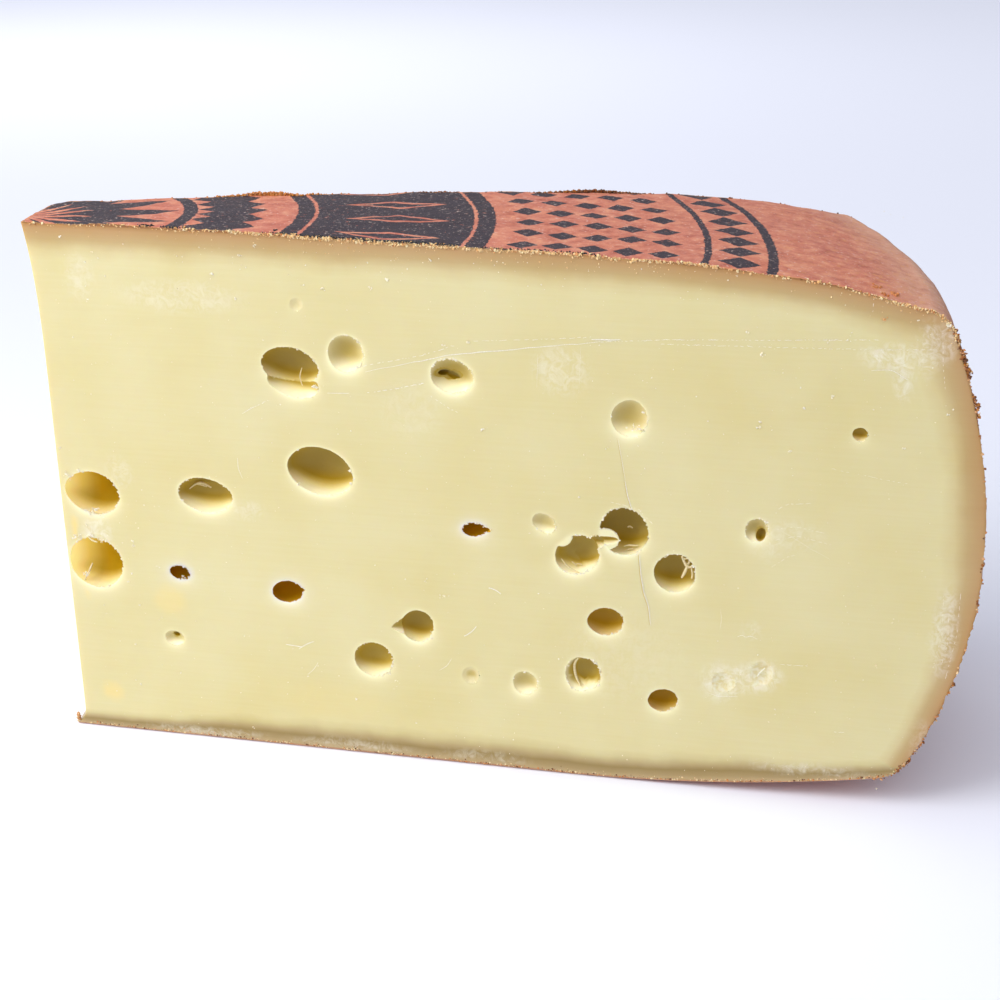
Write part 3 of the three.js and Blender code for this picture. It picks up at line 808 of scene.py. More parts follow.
# %% Read from the photo
SMEARS = [  # x, z, width, height, strength
    (222, 186, 26, 24, 0.6), (350, 199, 30, 12, 1.0), (354, 190, 8, 18, 0.9),
    (362, 203, 9, 26, 0.8), (292, 52, 19, 20, 0.95), (308, 57, 21, 17, 0.95),
    (316, 122, 30, 16, 0.4), (16, 99, 16, 18, 0.8), (29, 128, 14, 18, 0.5), (86, 115, 18, 10, 0.5),
    (64, 208, 60, 16, 0.5), (20, 214, 14, 22, 0.5), (303, 78, 10, 10, 0.5), (380, 84, 12, 46, 0.8),
    (376, 30, 10, 30, 0.4), (368, 205, 10, 20, 0.6), (307, 118, 16, 18, 0.5),
    (60, 2.6, 60, 5, 0.65), (130, 3.6, 70, 5, 0.6), (190, 4, 50, 5, 0.5), (330, 14, 60, 6, 0.6),
    (299, 54.5, 36, 15, 1.0), (160, 165, 30, 30, 0.25), (250, 60, 60, 50, 0.2),
]
WARM_SPOTS = [
    (5.6, 99.5, 2.6, 15, 0.8), (7.4, 68.5, 2.4, 9, 0.8), (47.5, 68.3, 18, 16, 0.35),
    (16.0, 18.8, 12, 11, 0.5), (120, 25, 60, 22, 0.12),
]
# Painted shade: these hardly open eyes are painted dark golden inside, by how closed they are.
NICKS = {
    "lower_left_nick": 1, "lens": 0.9, "middle_lens": 1, "lowest_right": 0.45, "under_pair": 0.4,
    "right_pin": 0.1,
}
# Painted light: a pale rim round the mouths of the most closed eyes, fading over PALE_REACH mm.
PALE_RIM, PALE_REACH = 0.55, 1.5
# Painted shade: pits listed here count as deeper, so the depth ramp paints them darker.
PAINTED_PIT_SHADE = [
    (172.3, 180.8, 7, 3.6, 3.5), (176.6, 179.7, 7.4, 3.6, 3.5), (48.8, 50.8, 3.6, 3.4, 4),
    (304.4, 120.2, 5.4, 8, 1.2), (240.6, 113.7, 13, 4.4, 1.5), (184.3, 45.0, 4, 3.6, 3),
    (231.5, 108, 17, 16, 0.6), (236.2, 51.6, 12.4, 14, 1.2),
]
MOUTH_SOFT, CHIP = 0.55, 0.42
RING_SHARE, RING_REACH, UNDER_SHARE, UNDER_REACH = 0.42, 0.8, 0.9, 4.5 / 2.2  # of the glow
NEAR_EYE, FULL_GLOW, GRAZED = 24, 14, -0.8
# Painted shade: in deep eyes, small eyes (below WIDE_EYE) and steep walls (by DEEP_STEP) count as
# deeper, so the ramp paints them darker.
HALVED = -0.15  # an eye cut at least this far shows its deep wall
PIT_DEPTH, PALE_FROM = 9, 0.6
UNDER_AT_TIP, UNDER_AT_HEEL = 1.8, 0.6  # the grey layer is thinner at the tip and the heel
WIDE_EYE = 22  # mm, the width from which an eye shows its floor fully lit
DEEP_STEP = 3.5  # mm by which a steep wall looks deeper than it is
HEEL_COUNTS = (1.15, 0.8)  # how depth behind the heel counts, low and high up
THIN_REACH = 24.0  # mm from the tip's cut within which light comes through the wall

print(len(SMEARS), "smears,", len(WARM_SPOTS), "warm spots and", len(NICKS), "nicks")

# %% [markdown]
# Each number is a plain function of a place in millimetres. Depths are distances to the wheel's
# section or to the cuts, spots fade out at the rim of an ellipse, and the painted glow under a
# mouth dies away from it as light does in paste.


# %% Depths, spots and glow
def depth_under_rind(x, y, z):
    """The dried layer is thicker high up behind the heel, so depth counts for less there."""
    r = from_axis(x, y)
    behind = heel_at(z) - r
    counted = mix(*HEEL_COUNTS, step(25, 110, z))
    return max(0, min(top_at(r) - z, behind * counted + step(0, 1, behind)))


def depth_from_cuts(x, y, z):
    back = (BACK_OFFSET + BACK_SLOPE * x - y) / math.hypot(1, BACK_SLOPE)
    return max(0, min(y, back, x - left_edge(y, z)))


def spot_at(spots, x, y, z):
    if y > 2:
        return 0
    return max(s * (1 - step(0.45, 1.15, math.hypot((x - sx) * 2 / w, (z - sz) * 2 / h)))
               for sx, sz, w, h, s in spots)


def painted_glow_at(x, y, z):
    """Painted light through the thin paste at each mouth: a narrow ring all round and more close
    below.
    """
    if y > 1:
        return 0
    most = 0
    for eye in EYES.values():
        if abs(x - eye[0]) > NEAR_EYE or abs(z - eye[1]) > NEAR_EYE:
            continue
        away = max(0, from_mouth(eye, x, z))
        below = max(0, (eye[1] - z) / math.hypot(x - eye[0], z - eye[1])) if away > 0 else 0
        size = min(1, eye[3] / FULL_GLOW) * (1 if eye[4] > GRAZED else 0.3)
        all_round = RING_SHARE * math.exp(-away / RING_REACH)
        under = (UNDER_SHARE - all_round) * below * math.exp(-away / UNDER_REACH)
        most = max(most, size * (all_round + under))
    return most


def closed_eye_shade(x, z):
    """How closed the eye here is, and how near its mouth: small mouths are painted dark inside, as
    painted shade.
    """
    for name, closed in NICKS.items():
        eye = EYES[name]
        if math.hypot(x - eye[0], z - eye[1]) < eye[2] + 4:
            return closed, from_mouth(eye, x, z)
    return 0, 0


def pit_shade_gain(x, z):
    """How much more painted shade than its depth gives a pit gets."""
    return 1 + max(gain * (1 - step(0.7, 1.1, math.hypot((x - px) * 2 / w, (z - pz) * 2 / h)))
                   for px, pz, w, h, gain in PAINTED_PIT_SHADE)


def from_any_mouth(x, z):
    return min(from_mouth(eye, x, z) for eye in EYES.values())


def nearest_eye(x, z):
    """Name and numbers of the eye with the nearest mouth."""
    return min(EYES.items(), key=lambda item: abs(from_mouth(item[1], x, z)))


# %% [markdown]
# The mouths are found as the line where cut paste and eye wall meet, and are softened a little,
# because a moist paste holds no razor edge. A blade parts the paste cleanly where it enters an
# eye and tears it a little where it leaves, on the right and below, so mouth vertices there are
# pushed about by a third of a millimetre.


# %% Chipped mouths and attributes
def chip(v):
    """Pushes a mouth vertex about in the cut face, most on the side where the knife left."""
    eye = nearest_eye(v.co.x, v.co.z)[1]
    side = math.atan2(v.co.z - eye[1], v.co.x - eye[0])
    torn = 0.25 + 0.75 * step(-0.2, 0.6, math.cos(side + 0.6))
    v.co.x += CHIP * torn * noise.noise(v.co * 1.3) * 2
    v.co.z += CHIP * torn * noise.noise(v.co * 1.3 + Vector((31, 7, 3))) * 2


# %% [markdown]
# On the front every eye was matched to the photo, so its walls get more numbers than those of
# the back: a deep wall that is steep or small counts as deeper, so its painted shade is darker,
# and near the tip painted daylight comes through. The mesh keeps the ten numbers in vertex layers
# that the shaders read.


# %% Numbers on every vertex
def numbers_at(v, wall):
    """What the finishes have to know about a vertex."""
    x, y, z = v.co
    front = y < BACK_OFFSET / 2
    found = {"skin": depth_under_rind(x, y, z), "depth": depth_from_cuts(x, y, z),
             "under": z - under_at(min(from_axis(x, y), RIM_RADIUS)), "glow": painted_glow_at(x, y, z),
             "smear": spot_at(SMEARS, x, y, z), "warm": spot_at(WARM_SPOTS, x, y, z)}
    # Painted light: wall that faces up counts as floor and is painted paler.
    floor = found["floor"] = step(0.1, 0.85, v.normal.z) if wall else 0
    if not front:
        return found
    at_tip = mix(UNDER_AT_TIP, 1, step(0, 85, x))
    found["under"] *= at_tip + UNDER_AT_HEEL * step(290, 370, x)
    closed, away = closed_eye_shade(x, z)
    # Painted light: a pale rim round the mouth of a hardly open eye.
    if y <= 1 and closed >= PALE_FROM:
        found["halo"] = PALE_RIM * math.exp(-max(0, away) / PALE_REACH)
    if wall:
        # Painted shade: how closed the eye is darkens its inside.
        found["closed"] = closed
        # Painted shade: a steep or small deep eye and the listed pits count as deeper, so the ramp
        # paints them darker.
        eye = nearest_eye(x, z)[1]
        deep = eye[4] > HALVED
        steep = DEEP_STEP * (1 - floor) * step(0, 1.5, y) if deep else 0
        small = max(1, (WIDE_EYE / eye[2]) ** 0.7) if deep else 1
        found["depth"] = y * small * (pit_shade_gain(x, z) if y < PIT_DEPTH else 1) + steep
        # Painted daylight: near the tip the wall is painted brighter and given a faint glow.
        from_tip = x - left_edge(y, z)
        if from_tip < THIN_REACH + 8:
            found["thin"] = 1 - 0.8 * min(1, from_tip / THIN_REACH)
    return found


def dress(target):
    bm = bmesh.new()
    bm.from_mesh(target.data)
    names = ("skin", "under", "depth", "floor", "glow", "smear", "warm", "halo", "closed", "thin")
    layers = {name: bm.verts.layers.float.new(name) for name in names}
    kinds = {v: {f.material_index for f in v.link_faces} for v in bm.verts}
    mouth = [v for v, kind in kinds.items() if WALL in kind and PASTE in kind]
    tree = kdtree.KDTree(len(mouth))
    for i, v in enumerate(mouth):
        tree.insert(v.co, i)
    tree.balance()
    soft = [v for v in bm.verts if tree.find(v.co)[2] < MOUTH_SOFT]
    axes = {"use_axis_x": True, "use_axis_y": True, "use_axis_z": True}
    bmesh.ops.smooth_vert(bm, verts=soft, factor=0.5, **axes)
    for v in mouth:
        if v.co.y < 1:
            chip(v)
    bm.normal_update()
    for v in bm.verts:
        for name, value in numbers_at(v, WALL in kinds[v]).items():
            v[layers[name]] = value
    for face in bm.faces:
        face.smooth = True
    bm.to_mesh(target.data)
    bm.free()
    target.data.set_sharp_from_angle(angle=math.radians(38))


dress(cheese)
print("triangles", sum(len(p.vertices) - 2 for p in cheese.data.polygons))

# %% [markdown]
# ## Crumbs
# The blade tears the dry rind instead of slicing it, so granules of rind and dried paste cling
# along its edge, and small white bits of paste cling to the mouths of the eyes and the cut. Each
# crumb is a coarse ball with its corners pushed about, and hundreds are joined into one piece.
# They are made in small lots, because a mesh operator looks through the whole mesh each time.

# %% Crumb maker
LOT = 100
JAGGED = 0.3  # of a crumb's size, how far its corners are pushed about
LARGEST, SPREAD = 2.1, 0.42  # of the middle size, the limit and the spread of the sizes
draw = random.Random(11)


def crumb_piece(name, material, spots, flat=1.0):
    """Joins a jagged crumb for each (place, radius, tone) and puts the piece on the body."""
    whole = bmesh.new()
    whole.verts.layers.float.new("tone")
    mesh = bpy.data.meshes.new(name)
    for first in range(0, len(spots), LOT):
        lot = bmesh.new()
        layer = lot.verts.layers.float.new("tone")
        for place, size, tone in spots[first : first + LOT]:
            turn = Euler([draw.uniform(0, math.tau) for _ in range(3)])
            sizes = Vector([size * draw.uniform(0.6, 1.3) for _ in range(3)])
            pressed = Matrix.Translation(place) @ Matrix.Diagonal((1, flat, 1, 1))
            shape = pressed @ Matrix.LocRotScale(None, turn, sizes)
            made = bmesh.ops.create_icosphere(lot, subdivisions=1, radius=1, matrix=shape)
            for v in made["verts"]:
                v.co += Vector([draw.uniform(-JAGGED, JAGGED) * size for _ in range(3)])
                v[layer] = tone
        lot.to_mesh(mesh)
        lot.free()
        whole.from_mesh(mesh)
    bmesh.ops.recalc_face_normals(whole, faces=whole.faces)
    whole.to_mesh(mesh)
    whole.free()
    mesh.materials.append(material)
    place_piece(add_object(name, mesh))


def place_piece(made):
    made.data.transform(PLACE)
    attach(made, "root")
    print(made.name, len(made.data.polygons), "faces")


def crumb_size(middle):
    """Crumbs of very mixed sizes about a middle one, in mm."""
    return middle * min(LARGEST, math.exp(draw.gauss(0, SPREAD)))


# %% [markdown]
# Torn rind is not one colour: dried paste is yellow, the rind orange and brown, and flakes of the
# ink nearly black. A number on each crumb, its tone, picks its place on a ramp.


# %% Materials: crumbs
def crumb_material(name, stops, roughness):
    material, tree, shader = new_material(name)
    shade = node(tree, "ValToRGB", {0: "tone"}, stops=stops)
    mottle = node(tree, "TexNoise", {"Vector": face_coordinates(tree), "Scale": 2.5, "Detail": 2})
    spread = node(tree, "ValToRGB", {0: mottle}, stops=((0.3, "#DCD2C4"), (0.7, "#FFFFFF")))
    colour = node(tree, "Mix", {0: 1.0, 6: shade, 7: spread}, **TIMES)
    finish(tree, shader, colour, mottle, (0.3, 0.2), roughness, scatter=0.15, scatter_reach=1)
    return material


# Granules torn from the rind's edge, grit pushed off the heel, and moist white shreds of paste.
torn_rind = crumb_material("torn_rind", (
    (0.0, "#FCE9B8"), (0.3, "#F6D298"), (0.6, "#E9B678"), (0.8, "#D6905A"), (0.86, "#B4682F"),
    (0.9, "#33363A")), 0.75)
rind_grit = crumb_material("rind_grit", (
    (0.0, "#4A3322"), (0.3, "#8E5427"), (0.6, "#CC8430"), (0.8, "#DDA070"), (0.9, "#E8C08E"),
    (1.0, "#F7E6B8")), 0.7)
white_paste = crumb_material("white_paste", (
    (0.0, "#F3E7B8"), (0.5, "#FBF2CE"), (1.0, "#FFFCEA")), 0.5)
print("made", torn_rind.name, rind_grit.name, white_paste.name)

# %% [markdown]
# Crumbs gather on three lines: where the cuts meet the rind, and round the mouths of the eyes.
# The mesh already holds these lines, as the vertices where two finishes meet.


# %% Lines where crumbs gather
def meeting(mesh, a, b):
    """Points of the mesh where two finishes meet."""
    kinds = [set() for _ in mesh.vertices]
    for face in mesh.polygons:
        for i in face.vertices:
            kinds[i].add(face.material_index)
    return [v.co.copy() for v, kind in zip(mesh.vertices, kinds) if a in kind and b in kind]


skin_line = meeting(cheese.data, PASTE, RIND)
mouth_line = [p for p in meeting(cheese.data, PASTE, WALL) if p.y < 1]
front_line = [p for p in skin_line if p.y < 1.9 and p.x > 0]
back_line = [p for p in skin_line if p.y > 20 and p.x > 10]
print(len(front_line), "front,", len(back_line), "back and", len(mouth_line), "mouth points")


def hill(x, *peaks):
    """The highest of some rounded peaks, each (middle, half width, height)."""
    return max(height * math.exp(-(((x - middle) / wide) ** 2)) for middle, wide, height in peaks)


def chosen(points, weight, count):
    weights = [weight(p) for p in points]
    return draw.choices(points, weights, k=count)


# %% [markdown]
# Along the top the blade tears the rind where its print is thickest, so pale granules hang on the
# edge there and lie in clumps on the ink, and few are left towards the heel. A weight along the
# edge says how torn it is, and random places are drawn by it. Some crumbs have fallen on the cut,
# and a few lie further in on the rind or hang under its edge.

# %% Torn top edge
CLUMPS = (
    (111, 5, 1), (125, 6, 1.1), (143, 7, 1.3), (160, 7, 1.3), (175, 4, 1), (63, 4, 0.7),
    (66, 2, 0.8), (50, 3, 0.3), (196, 8, 0.5), (212, 6, 0.35), (228, 7, 0.4),
)


def torn_amount(p):
    crust = 0.16 + step(55, 95, p.x) * (1 - 0.93 * step(268, 292, p.x))
    uneven = 0.55 + noise.noise(Vector((p.x * 0.21, 3, 1)))
    return crust * uneven + hill(p.x, (352, 14, 0.6), (338, 6, 0.5))


# Crumbs on the rind: x, y, how many and their tone.
ON_RIND = ((341, 12, 30, 0.83), (348, 9, 22, 0.8), (344, 5, 12, 0.84), (104, 6, 14, 1))
EDGE_CRUMBS, CLUMP_CRUMBS, FALLEN = 4300, 1100, 0.07
spots = []
top_edge = [p for p in front_line if p.z > 192 and p.x < 374]
for p in chosen(top_edge, torn_amount, EDGE_CRUMBS):
    if draw.random() < FALLEN:
        y, down, size = draw.uniform(-0.1, 0.2), -min(6, draw.expovariate(0.5)), 0.2
        tone = draw.uniform(0, 0.4)
    else:
        y, size = max(p.y - 0.3, draw.gauss(0.4, 0.45)), 0.29
        down = draw.uniform(-0.9, 0.2) - 0.2 * y
        tone = min(0.84, max(0, draw.gauss(0.36, 0.24)))
    place = Vector((p.x + draw.uniform(-0.6, 0.6), max(-0.15, y), p.z + down))
    spots.append((place, crumb_size(size), tone))
for p in chosen(top_edge, lambda p: hill(p.x, *CLUMPS), CLUMP_CRUMBS):
    move = Vector((draw.uniform(-0.7, 0.7), abs(draw.gauss(1.2, 0.7)), draw.uniform(0, 0.45)))
    size = crumb_size(0.27)
    spots.append((p + move, size, 1.0 if draw.random() < 0.8 else draw.uniform(0.1, 0.7)))
for x, y, count, tone in ON_RIND:
    for _ in range(count):
        at = Vector((x + draw.gauss(0, 0.8), y + draw.gauss(0, 1.2)))
        spots.append((Vector((*at, top_at(from_axis(*at)))), crumb_size(0.36), tone))
for _ in range(9):
    place = Vector((344.3 + draw.gauss(0, 0.7), draw.uniform(-0.1, 0.2), 214 + draw.gauss(0, 0.35)))
    spots.append((place, crumb_size(0.36), 0.62))
crumb_piece("torn_edge_crumbs", torn_rind, spots)

# %% [markdown]
# At the heel and on the far side the grit is coarser and browner, and stands out of the outline in
# clusters, as it was pushed off by the blade.

# %% Rind grit
HEEL_PEAKS = ((208, 4, 0.8), (201, 4, 1.1), (195, 3, 1.3), (182, 3, 1.2), (177, 2, 1),
              (60, 3, 0.4), (47, 3, 0.4), (30, 5, 0.9), (22, 3, 0.8))
FAR_PEAKS, FAR_HEIGHTS = ((79, 13, 1), (217, 15, 0.9), (150, 6, 0.1)), ((79, 11, 1), (217, 12, 0.8))
ORANGE_END = 130  # mm along, up to where the far grit is orange
HEEL_GRIT, FAR_GRIT, LOW_GRIT, CORNER_GRIT = 700, 1900, 1500, 90
spots = []
heel_edge = [p for p in front_line if p.x > 352 and 12 < p.z < 212]
for p in chosen(heel_edge, lambda p: 0.1 + hill(p.z, *HEEL_PEAKS), HEEL_GRIT):
    out = draw.uniform(-0.5, 0.3) + 1.7 * draw.random() ** 1.5 * hill(p.z, *HEEL_PEAKS)
    move = Vector((out, abs(draw.gauss(0, 0.8)), draw.uniform(-0.8, 0.8)))
    spots.append((p + move, crumb_size(0.36), draw.uniform(0.1, 0.95)))
far_edge = [p for p in back_line if p.z > 200]
for p in chosen(far_edge, lambda p: 0.01 + hill(p.x, *FAR_PEAKS), FAR_GRIT):
    up = draw.random() ** 1.5 * 1.5 * hill(p.x, *FAR_HEIGHTS)
    tone = draw.uniform(0.55, 0.78) if p.x < ORANGE_END else draw.uniform(0.0, 0.5)
    move = Vector((draw.uniform(-0.9, 0.9), -abs(draw.gauss(0, 0.5)), up))
    spots.append((p + move, crumb_size(0.34), tone))
low_edge = [p for p in front_line if p.z < 22]
for p in chosen(low_edge, lambda p: 0.5 + noise.noise(Vector((p.x * 0.12, 9, 4))), LOW_GRIT):
    x, y = p.x + draw.uniform(-0.8, 0.8), draw.uniform(-0.1, 0.3)
    place = Vector((x, y, p.z + 0.45 + draw.expovariate(2.4)))
    spots.append((place, crumb_size(0.24), draw.choice((0.15, 0.7, 0.85, 0.95, 1))))
for _ in range(CORNER_GRIT):
    place = Vector((-3.0 + draw.gauss(0, 0.5), draw.uniform(0, 1.5), 0.5 + 3.6 * draw.random()))
    spots.append((place, crumb_size(0.34), draw.choice((0.7, 0.78, 0.82, 0.95))))
crumb_piece("rind_grit", rind_grit, spots)

# %% [markdown]
# Moist paste tears in shreds where the blade leaves an eye, so each mouth has a ragged side of its
# own. A table says how ragged, and in which direction. Single crumbs that the blade carried along
# stick to the face, the larger ones at places read from the photo and the dust at random.

# %% White bits on the mouths and the cut
# How ragged each mouth is, and the direction in degrees where it is most ragged.
RAGGED = {
    "slotted_dimple": (2.2, 90), "upper_dimple": (1.4, 20), "pair_left": (1.8, 60),
    "pair_left_shelf": (1.6, -60), "pair_right": (1.3, 120), "strand_eye": (2.6, 80),
    "its_shelf": (2.0, 200), "under_drop": (1.8, -40), "right_dimple": (1.8, 80),
    "low_dimple": (1.2, 0), "upper_right_dimple": (1.0, -40), "drop": (0.5, -50),
    "largest": (0.3, -20), "left_of_largest": (0.9, 200), "edge_upper": (1.4, -70),
    "edge_lower": (1.6, 90), "right_of_pair": (1.3, 60), "middle_lens": (1.2, 100),
    "lower_left_nick": (0.9, -60), "upper_left": (0.7, 0), "its_ledge": (0.6, -20),
    "lowest_right": (0.8, -40), "under_pair": (0.5, 20), "teardrop_dimple": (1.2, -60),
}


def mouth_weight(p):
    name, eye = nearest_eye(p.x, p.z)
    amount, toward = RAGGED.get(name, (0.1, 0))
    side = math.atan2(p.z - eye[1], p.x - eye[0])
    clump = 0.3 + max(0, noise.noise(p * 0.8)) * 2
    return amount * clump * (0.12 + step(-0.2, 1, math.cos(side - math.radians(toward))))


print("ragged mouths", len(RAGGED))

# %% [markdown]
# Most bits hang on the mouths by that weight. Others lie where the photo shows a gathering or a
# single crumb. The dust is drawn at random, most of it under the torn top edge, and the back
# cut gets its own shreds and dust by the same rule.

# %% Shreds, crumbs and dust
SHREDS, DUST_TOTAL, BACK_SHREDS, BACK_DUST = 1150, 2900, 420, 900
spots = []
for p in chosen(mouth_line, mouth_weight, SHREDS):
    place = p + Vector([draw.gauss(0, 0.22), draw.uniform(-0.15, 0.35), draw.gauss(0, 0.22)])
    spots.append((place, crumb_size(0.25), draw.uniform(0.4, 1)))
# Shreds gathered at places read from the photo: x, z, spread and count.
GATHERED = (
    (132.9, 136.3, 0.5, 16), (133.2, 130.8, 0.5, 10), (119.5, 172.6, 1.0, 26),
    (138.4, 193.0, 0.7, 12), (173.8, 193.7, 1.1, 14), (184.1, 195.2, 0.6, 8), (5.6, 124.6, 2.6, 46),
    (12.5, 108.6, 1.8, 30), (16.6, 109.6, 1.4, 26), (13.9, 107.2, 0.8, 14), (6.5, 96.2, 2.4, 26),
    (13.4, 96.8, 1.4, 34), (18.2, 94.9, 2.0, 22), (8.6, 77.4, 1.2, 20), (87.6, 208.5, 1.2, 9),
    (110.0, 128.7, 0.8, 8), (23.5, 220.5, 0.6, 8), (27.0, 224.8, 0.5, 6), (368.4, 212.5, 1.3, 22),
    (54.6, 80.6, 0.4, 8), (252.4, 163.5, 3.0, 26), (254.6, 170.5, 0.6, 8), (240.0, 45.6, 0.8, 14),
    (147.5, 41.8, 1.0, 16), (271.6, 37.4, 0.6, 10), (167.2, 60.8, 0.6, 10),
)
for x, z, spread, count in GATHERED:
    for _ in range(count):
        move = (draw.gauss(0, spread / 2), draw.uniform(-0.15, 0.3), draw.gauss(0, spread / 3))
        spots.append((Vector((x, 0, z)) + Vector(move), crumb_size(0.28), draw.uniform(0.4, 1)))
# Single crumbs stuck to the face, as read from the photo.
CRUMBS = [
    (300.6, 167.4), (300.9, 169.6), (317.5, 176.2), (327.7, 182.1), (300.0, 197.1), (313.0, 157.9),
    (357.0, 162.4), (293.7, 205.5), (324.1, 204.1), (331.9, 204.8), (357.2, 214.1), (371.7, 177.3),
    (241.2, 154.7), (229.8, 132.1), (190.0, 158.8), (165.1, 88.3), (172.6, 81.8), (31.7, 215.0),
    (78.2, 218.1), (116.4, 215.5), (124.1, 214.2), (144.4, 215.6), (150.9, 219.5), (96.8, 230.5),
    (169.3, 228.2), (13.5, 230.6), (23.0, 204.8), (90.4, 226.3), (29.0, 44.4), (49.7, 31.8),
    (29.6, 23.9), (150.0, 38.2), (109.8, 36.2), (131.8, 27.0), (82.6, 6.8), (159.1, 17.7),
    (10.4, 127.6), (32.3, 95.6), (32.4, 93.4), (42.7, 84.5), (28.8, 75.6), (30.5, 79.9),
    (32.9, 64.2), (11.8, 101.7), (2.9, 137.6),
]
for x, z in CRUMBS:
    spread = draw.uniform(0.2, 0.55)
    for _ in range(draw.randint(3, 9)):
        move = (draw.gauss(0, spread), draw.uniform(-0.15, 0.1), draw.gauss(0, spread * 0.7))
        spots.append((Vector((x, 0, z)) + Vector(move), crumb_size(0.27), draw.uniform(0.6, 1)))
while len(spots) < DUST_TOTAL:
    x, z = draw.uniform(4, 374), draw.uniform(6, 229)
    skin = depth_under_rind(x, 0, z)
    share = 1 if skin < 14 and 60 < x < 290 else 0.22  # most dust lies under the torn top edge
    if skin < 1.5 or draw.random() > share or from_any_mouth(x, z) < 0.6:
        continue
    place = Vector((x, draw.uniform(-0.12, 0.05), z))
    spots.append((place, crumb_size(0.17), draw.uniform(0.3, 1)))
back_mouths = [p for p in meeting(cheese.data, PASTE, WALL) if p.y > 20]
for p in chosen(back_mouths, lambda p: max(0.05, noise.noise(p * 0.3)), BACK_SHREDS):
    place = p + Vector([draw.gauss(0, 0.25) for _ in range(3)])
    spots.append((place, crumb_size(0.25), draw.uniform(0.4, 1)))
for _ in range(BACK_DUST):
    x, z = draw.uniform(12, 360), draw.uniform(8, 222)
    place = Vector((x, BACK_OFFSET + BACK_SLOPE * x, z))
    spots.append((place, crumb_size(0.18), draw.uniform(0.3, 1)))
crumb_piece("white_bits", white_paste, spots, flat=0.8)

# %% [markdown]
# ## Knife lines and threads
# The point of the knife left thin raised lines of smeared paste, some unbroken and some in rows of
# dots, and two cracks run from the pair of eyes. Soft paste also pulled out into threads and a
# torn flap inside the eyes. Each is a curve with a round profile that thins at its ends, turned
# into a mesh. The lines lie half sunk in the cut.


# %% Strand maker
def strands(name, material, runs, flat=1.0):
    """Makes one piece of many thin strands, each (radius, points), pressed flat by a share."""
    curve = bpy.data.curves.new(name, "CURVE")
    curve.dimensions, curve.bevel_depth, curve.bevel_resolution, curve.resolution_u = "3D", 1, 1, 4
    curve.use_fill_caps = True
    for radius, points in runs:
        spline = curve.splines.new("NURBS")
        spline.points.add(len(points) - 1)
        spline.order_u, spline.use_endpoint_u = 3, True
        for i, (point, place) in enumerate(zip(spline.points, points)):
            point.co = (*place, 1)
            middle = math.sin(math.pi * (i + 0.5) / len(points))
            point.radius = radius * (0.35 + 0.65 * middle) * draw.uniform(0.75, 1.25)
    source = add_object(name + "_curve", curve)
    graph = bpy.context.evaluated_depsgraph_get()
    mesh = bpy.data.meshes.new_from_object(source.evaluated_get(graph))
    bpy.data.objects.remove(source)
    mesh.transform(Matrix.Diagonal((1, flat, 1, 1)))
    tones = mesh.attributes.new("tone", "FLOAT", "POINT")
    tones.data.foreach_set("value", [1.0] * len(mesh.vertices))
    mesh.materials.clear()
    mesh.materials.append(material)
    mesh.shade_smooth()
    place_piece(add_object(name, mesh))


DASH = 0.45  # mm, the step at which a broken line may stop and start


def along(points, spacing):
    """Points every so many mm on a broken line in the cut face, wandering a little."""
    path = []
    for (x0, z0), (x1, z1) in zip(points, points[1:]):
        count = max(1, round(math.hypot(x1 - x0, z1 - z0) / spacing))
        path += [(mix(x0, x1, i / count), mix(z0, z1, i / count)) for i in range(count)]
    return [(x, draw.uniform(-0.05, 0.05), z + draw.gauss(0, 0.12)) for x, z in path + [points[-1]]]


def dashes(points, share):
    """Short stretches of a broken line, keeping about this share of it."""
    kept, stretch = [], []
    for place in along(points, DASH):
        if draw.random() < share:
            stretch.append(place)
        elif len(stretch) > 1:
            kept.append(stretch)
            stretch = []
    return kept


# %% [markdown]
# A nick in the blade scores the face, and the paste it lifts dries white along the score. Some
# scores are whole and some break up where the blade skipped, so the second list is cut in dashes.
# The lines are real ridges, a tenth of a millimetre or two high and pressed flat.

# %% Knife lines
WHOLE_LINES = [
    (0.2, [(141, 180.3), (155.8, 184.2), (176.6, 189.7), (205.1, 193.9), (237, 198.6)]),
    (0.16, [(124.6, 170.2), (134, 170.8)]), (0.14, [(87.1, 158.7), (93.6, 162.9)]),
    (0.05, [(311.7, 124.2), (320, 119.6), (332.4, 112.7)]),
    (0.14, [(83.7, 138.5), (83.7, 133.9), (85.3, 129.5)]),
    (0.3, [(181.3, 63.5), (184.6, 65.4), (186.7, 68.8)]),
    (0.3, [(192.1, 87.5), (195, 87.2), (197.4, 85.1)]),
    (0.14, [(170.2, 45.4), (174, 48.5), (175.7, 52.0)]),
    (0.3, [(306.8, 56.8), (307.6, 58.8), (309.8, 61.2)]),
    (0.07, [(290.3, 77.4), (290.6, 82), (289.8, 87.3)]),
    (0.28, [(100.4, 51.5), (104.4, 51.0), (107.8, 50.7)]),
    (0.2, [(106.4, 49.8), (109.2, 52.4), (113.3, 53.9)]),
    (0.16, [(114.8, 43.4), (112.8, 39.6), (109.8, 37.3)]), (0.3, [(233.6, 199.4), (245, 199.8)]),
    (0.14, [(297.6, 74.5), (299.3, 76), (301, 74.2), (303, 75.8), (305.7, 74.2)]),
    (0.16, [(341.6, 193.2), (349, 193.9), (355.4, 190.3)]), (0.05, [(212, 178), (212.3, 194)]),
    (0.05, [(229, 177), (229.4, 196)]), (0.12, [(286.5, 46.8), (291, 45.6), (299.5, 46.4)]),
]
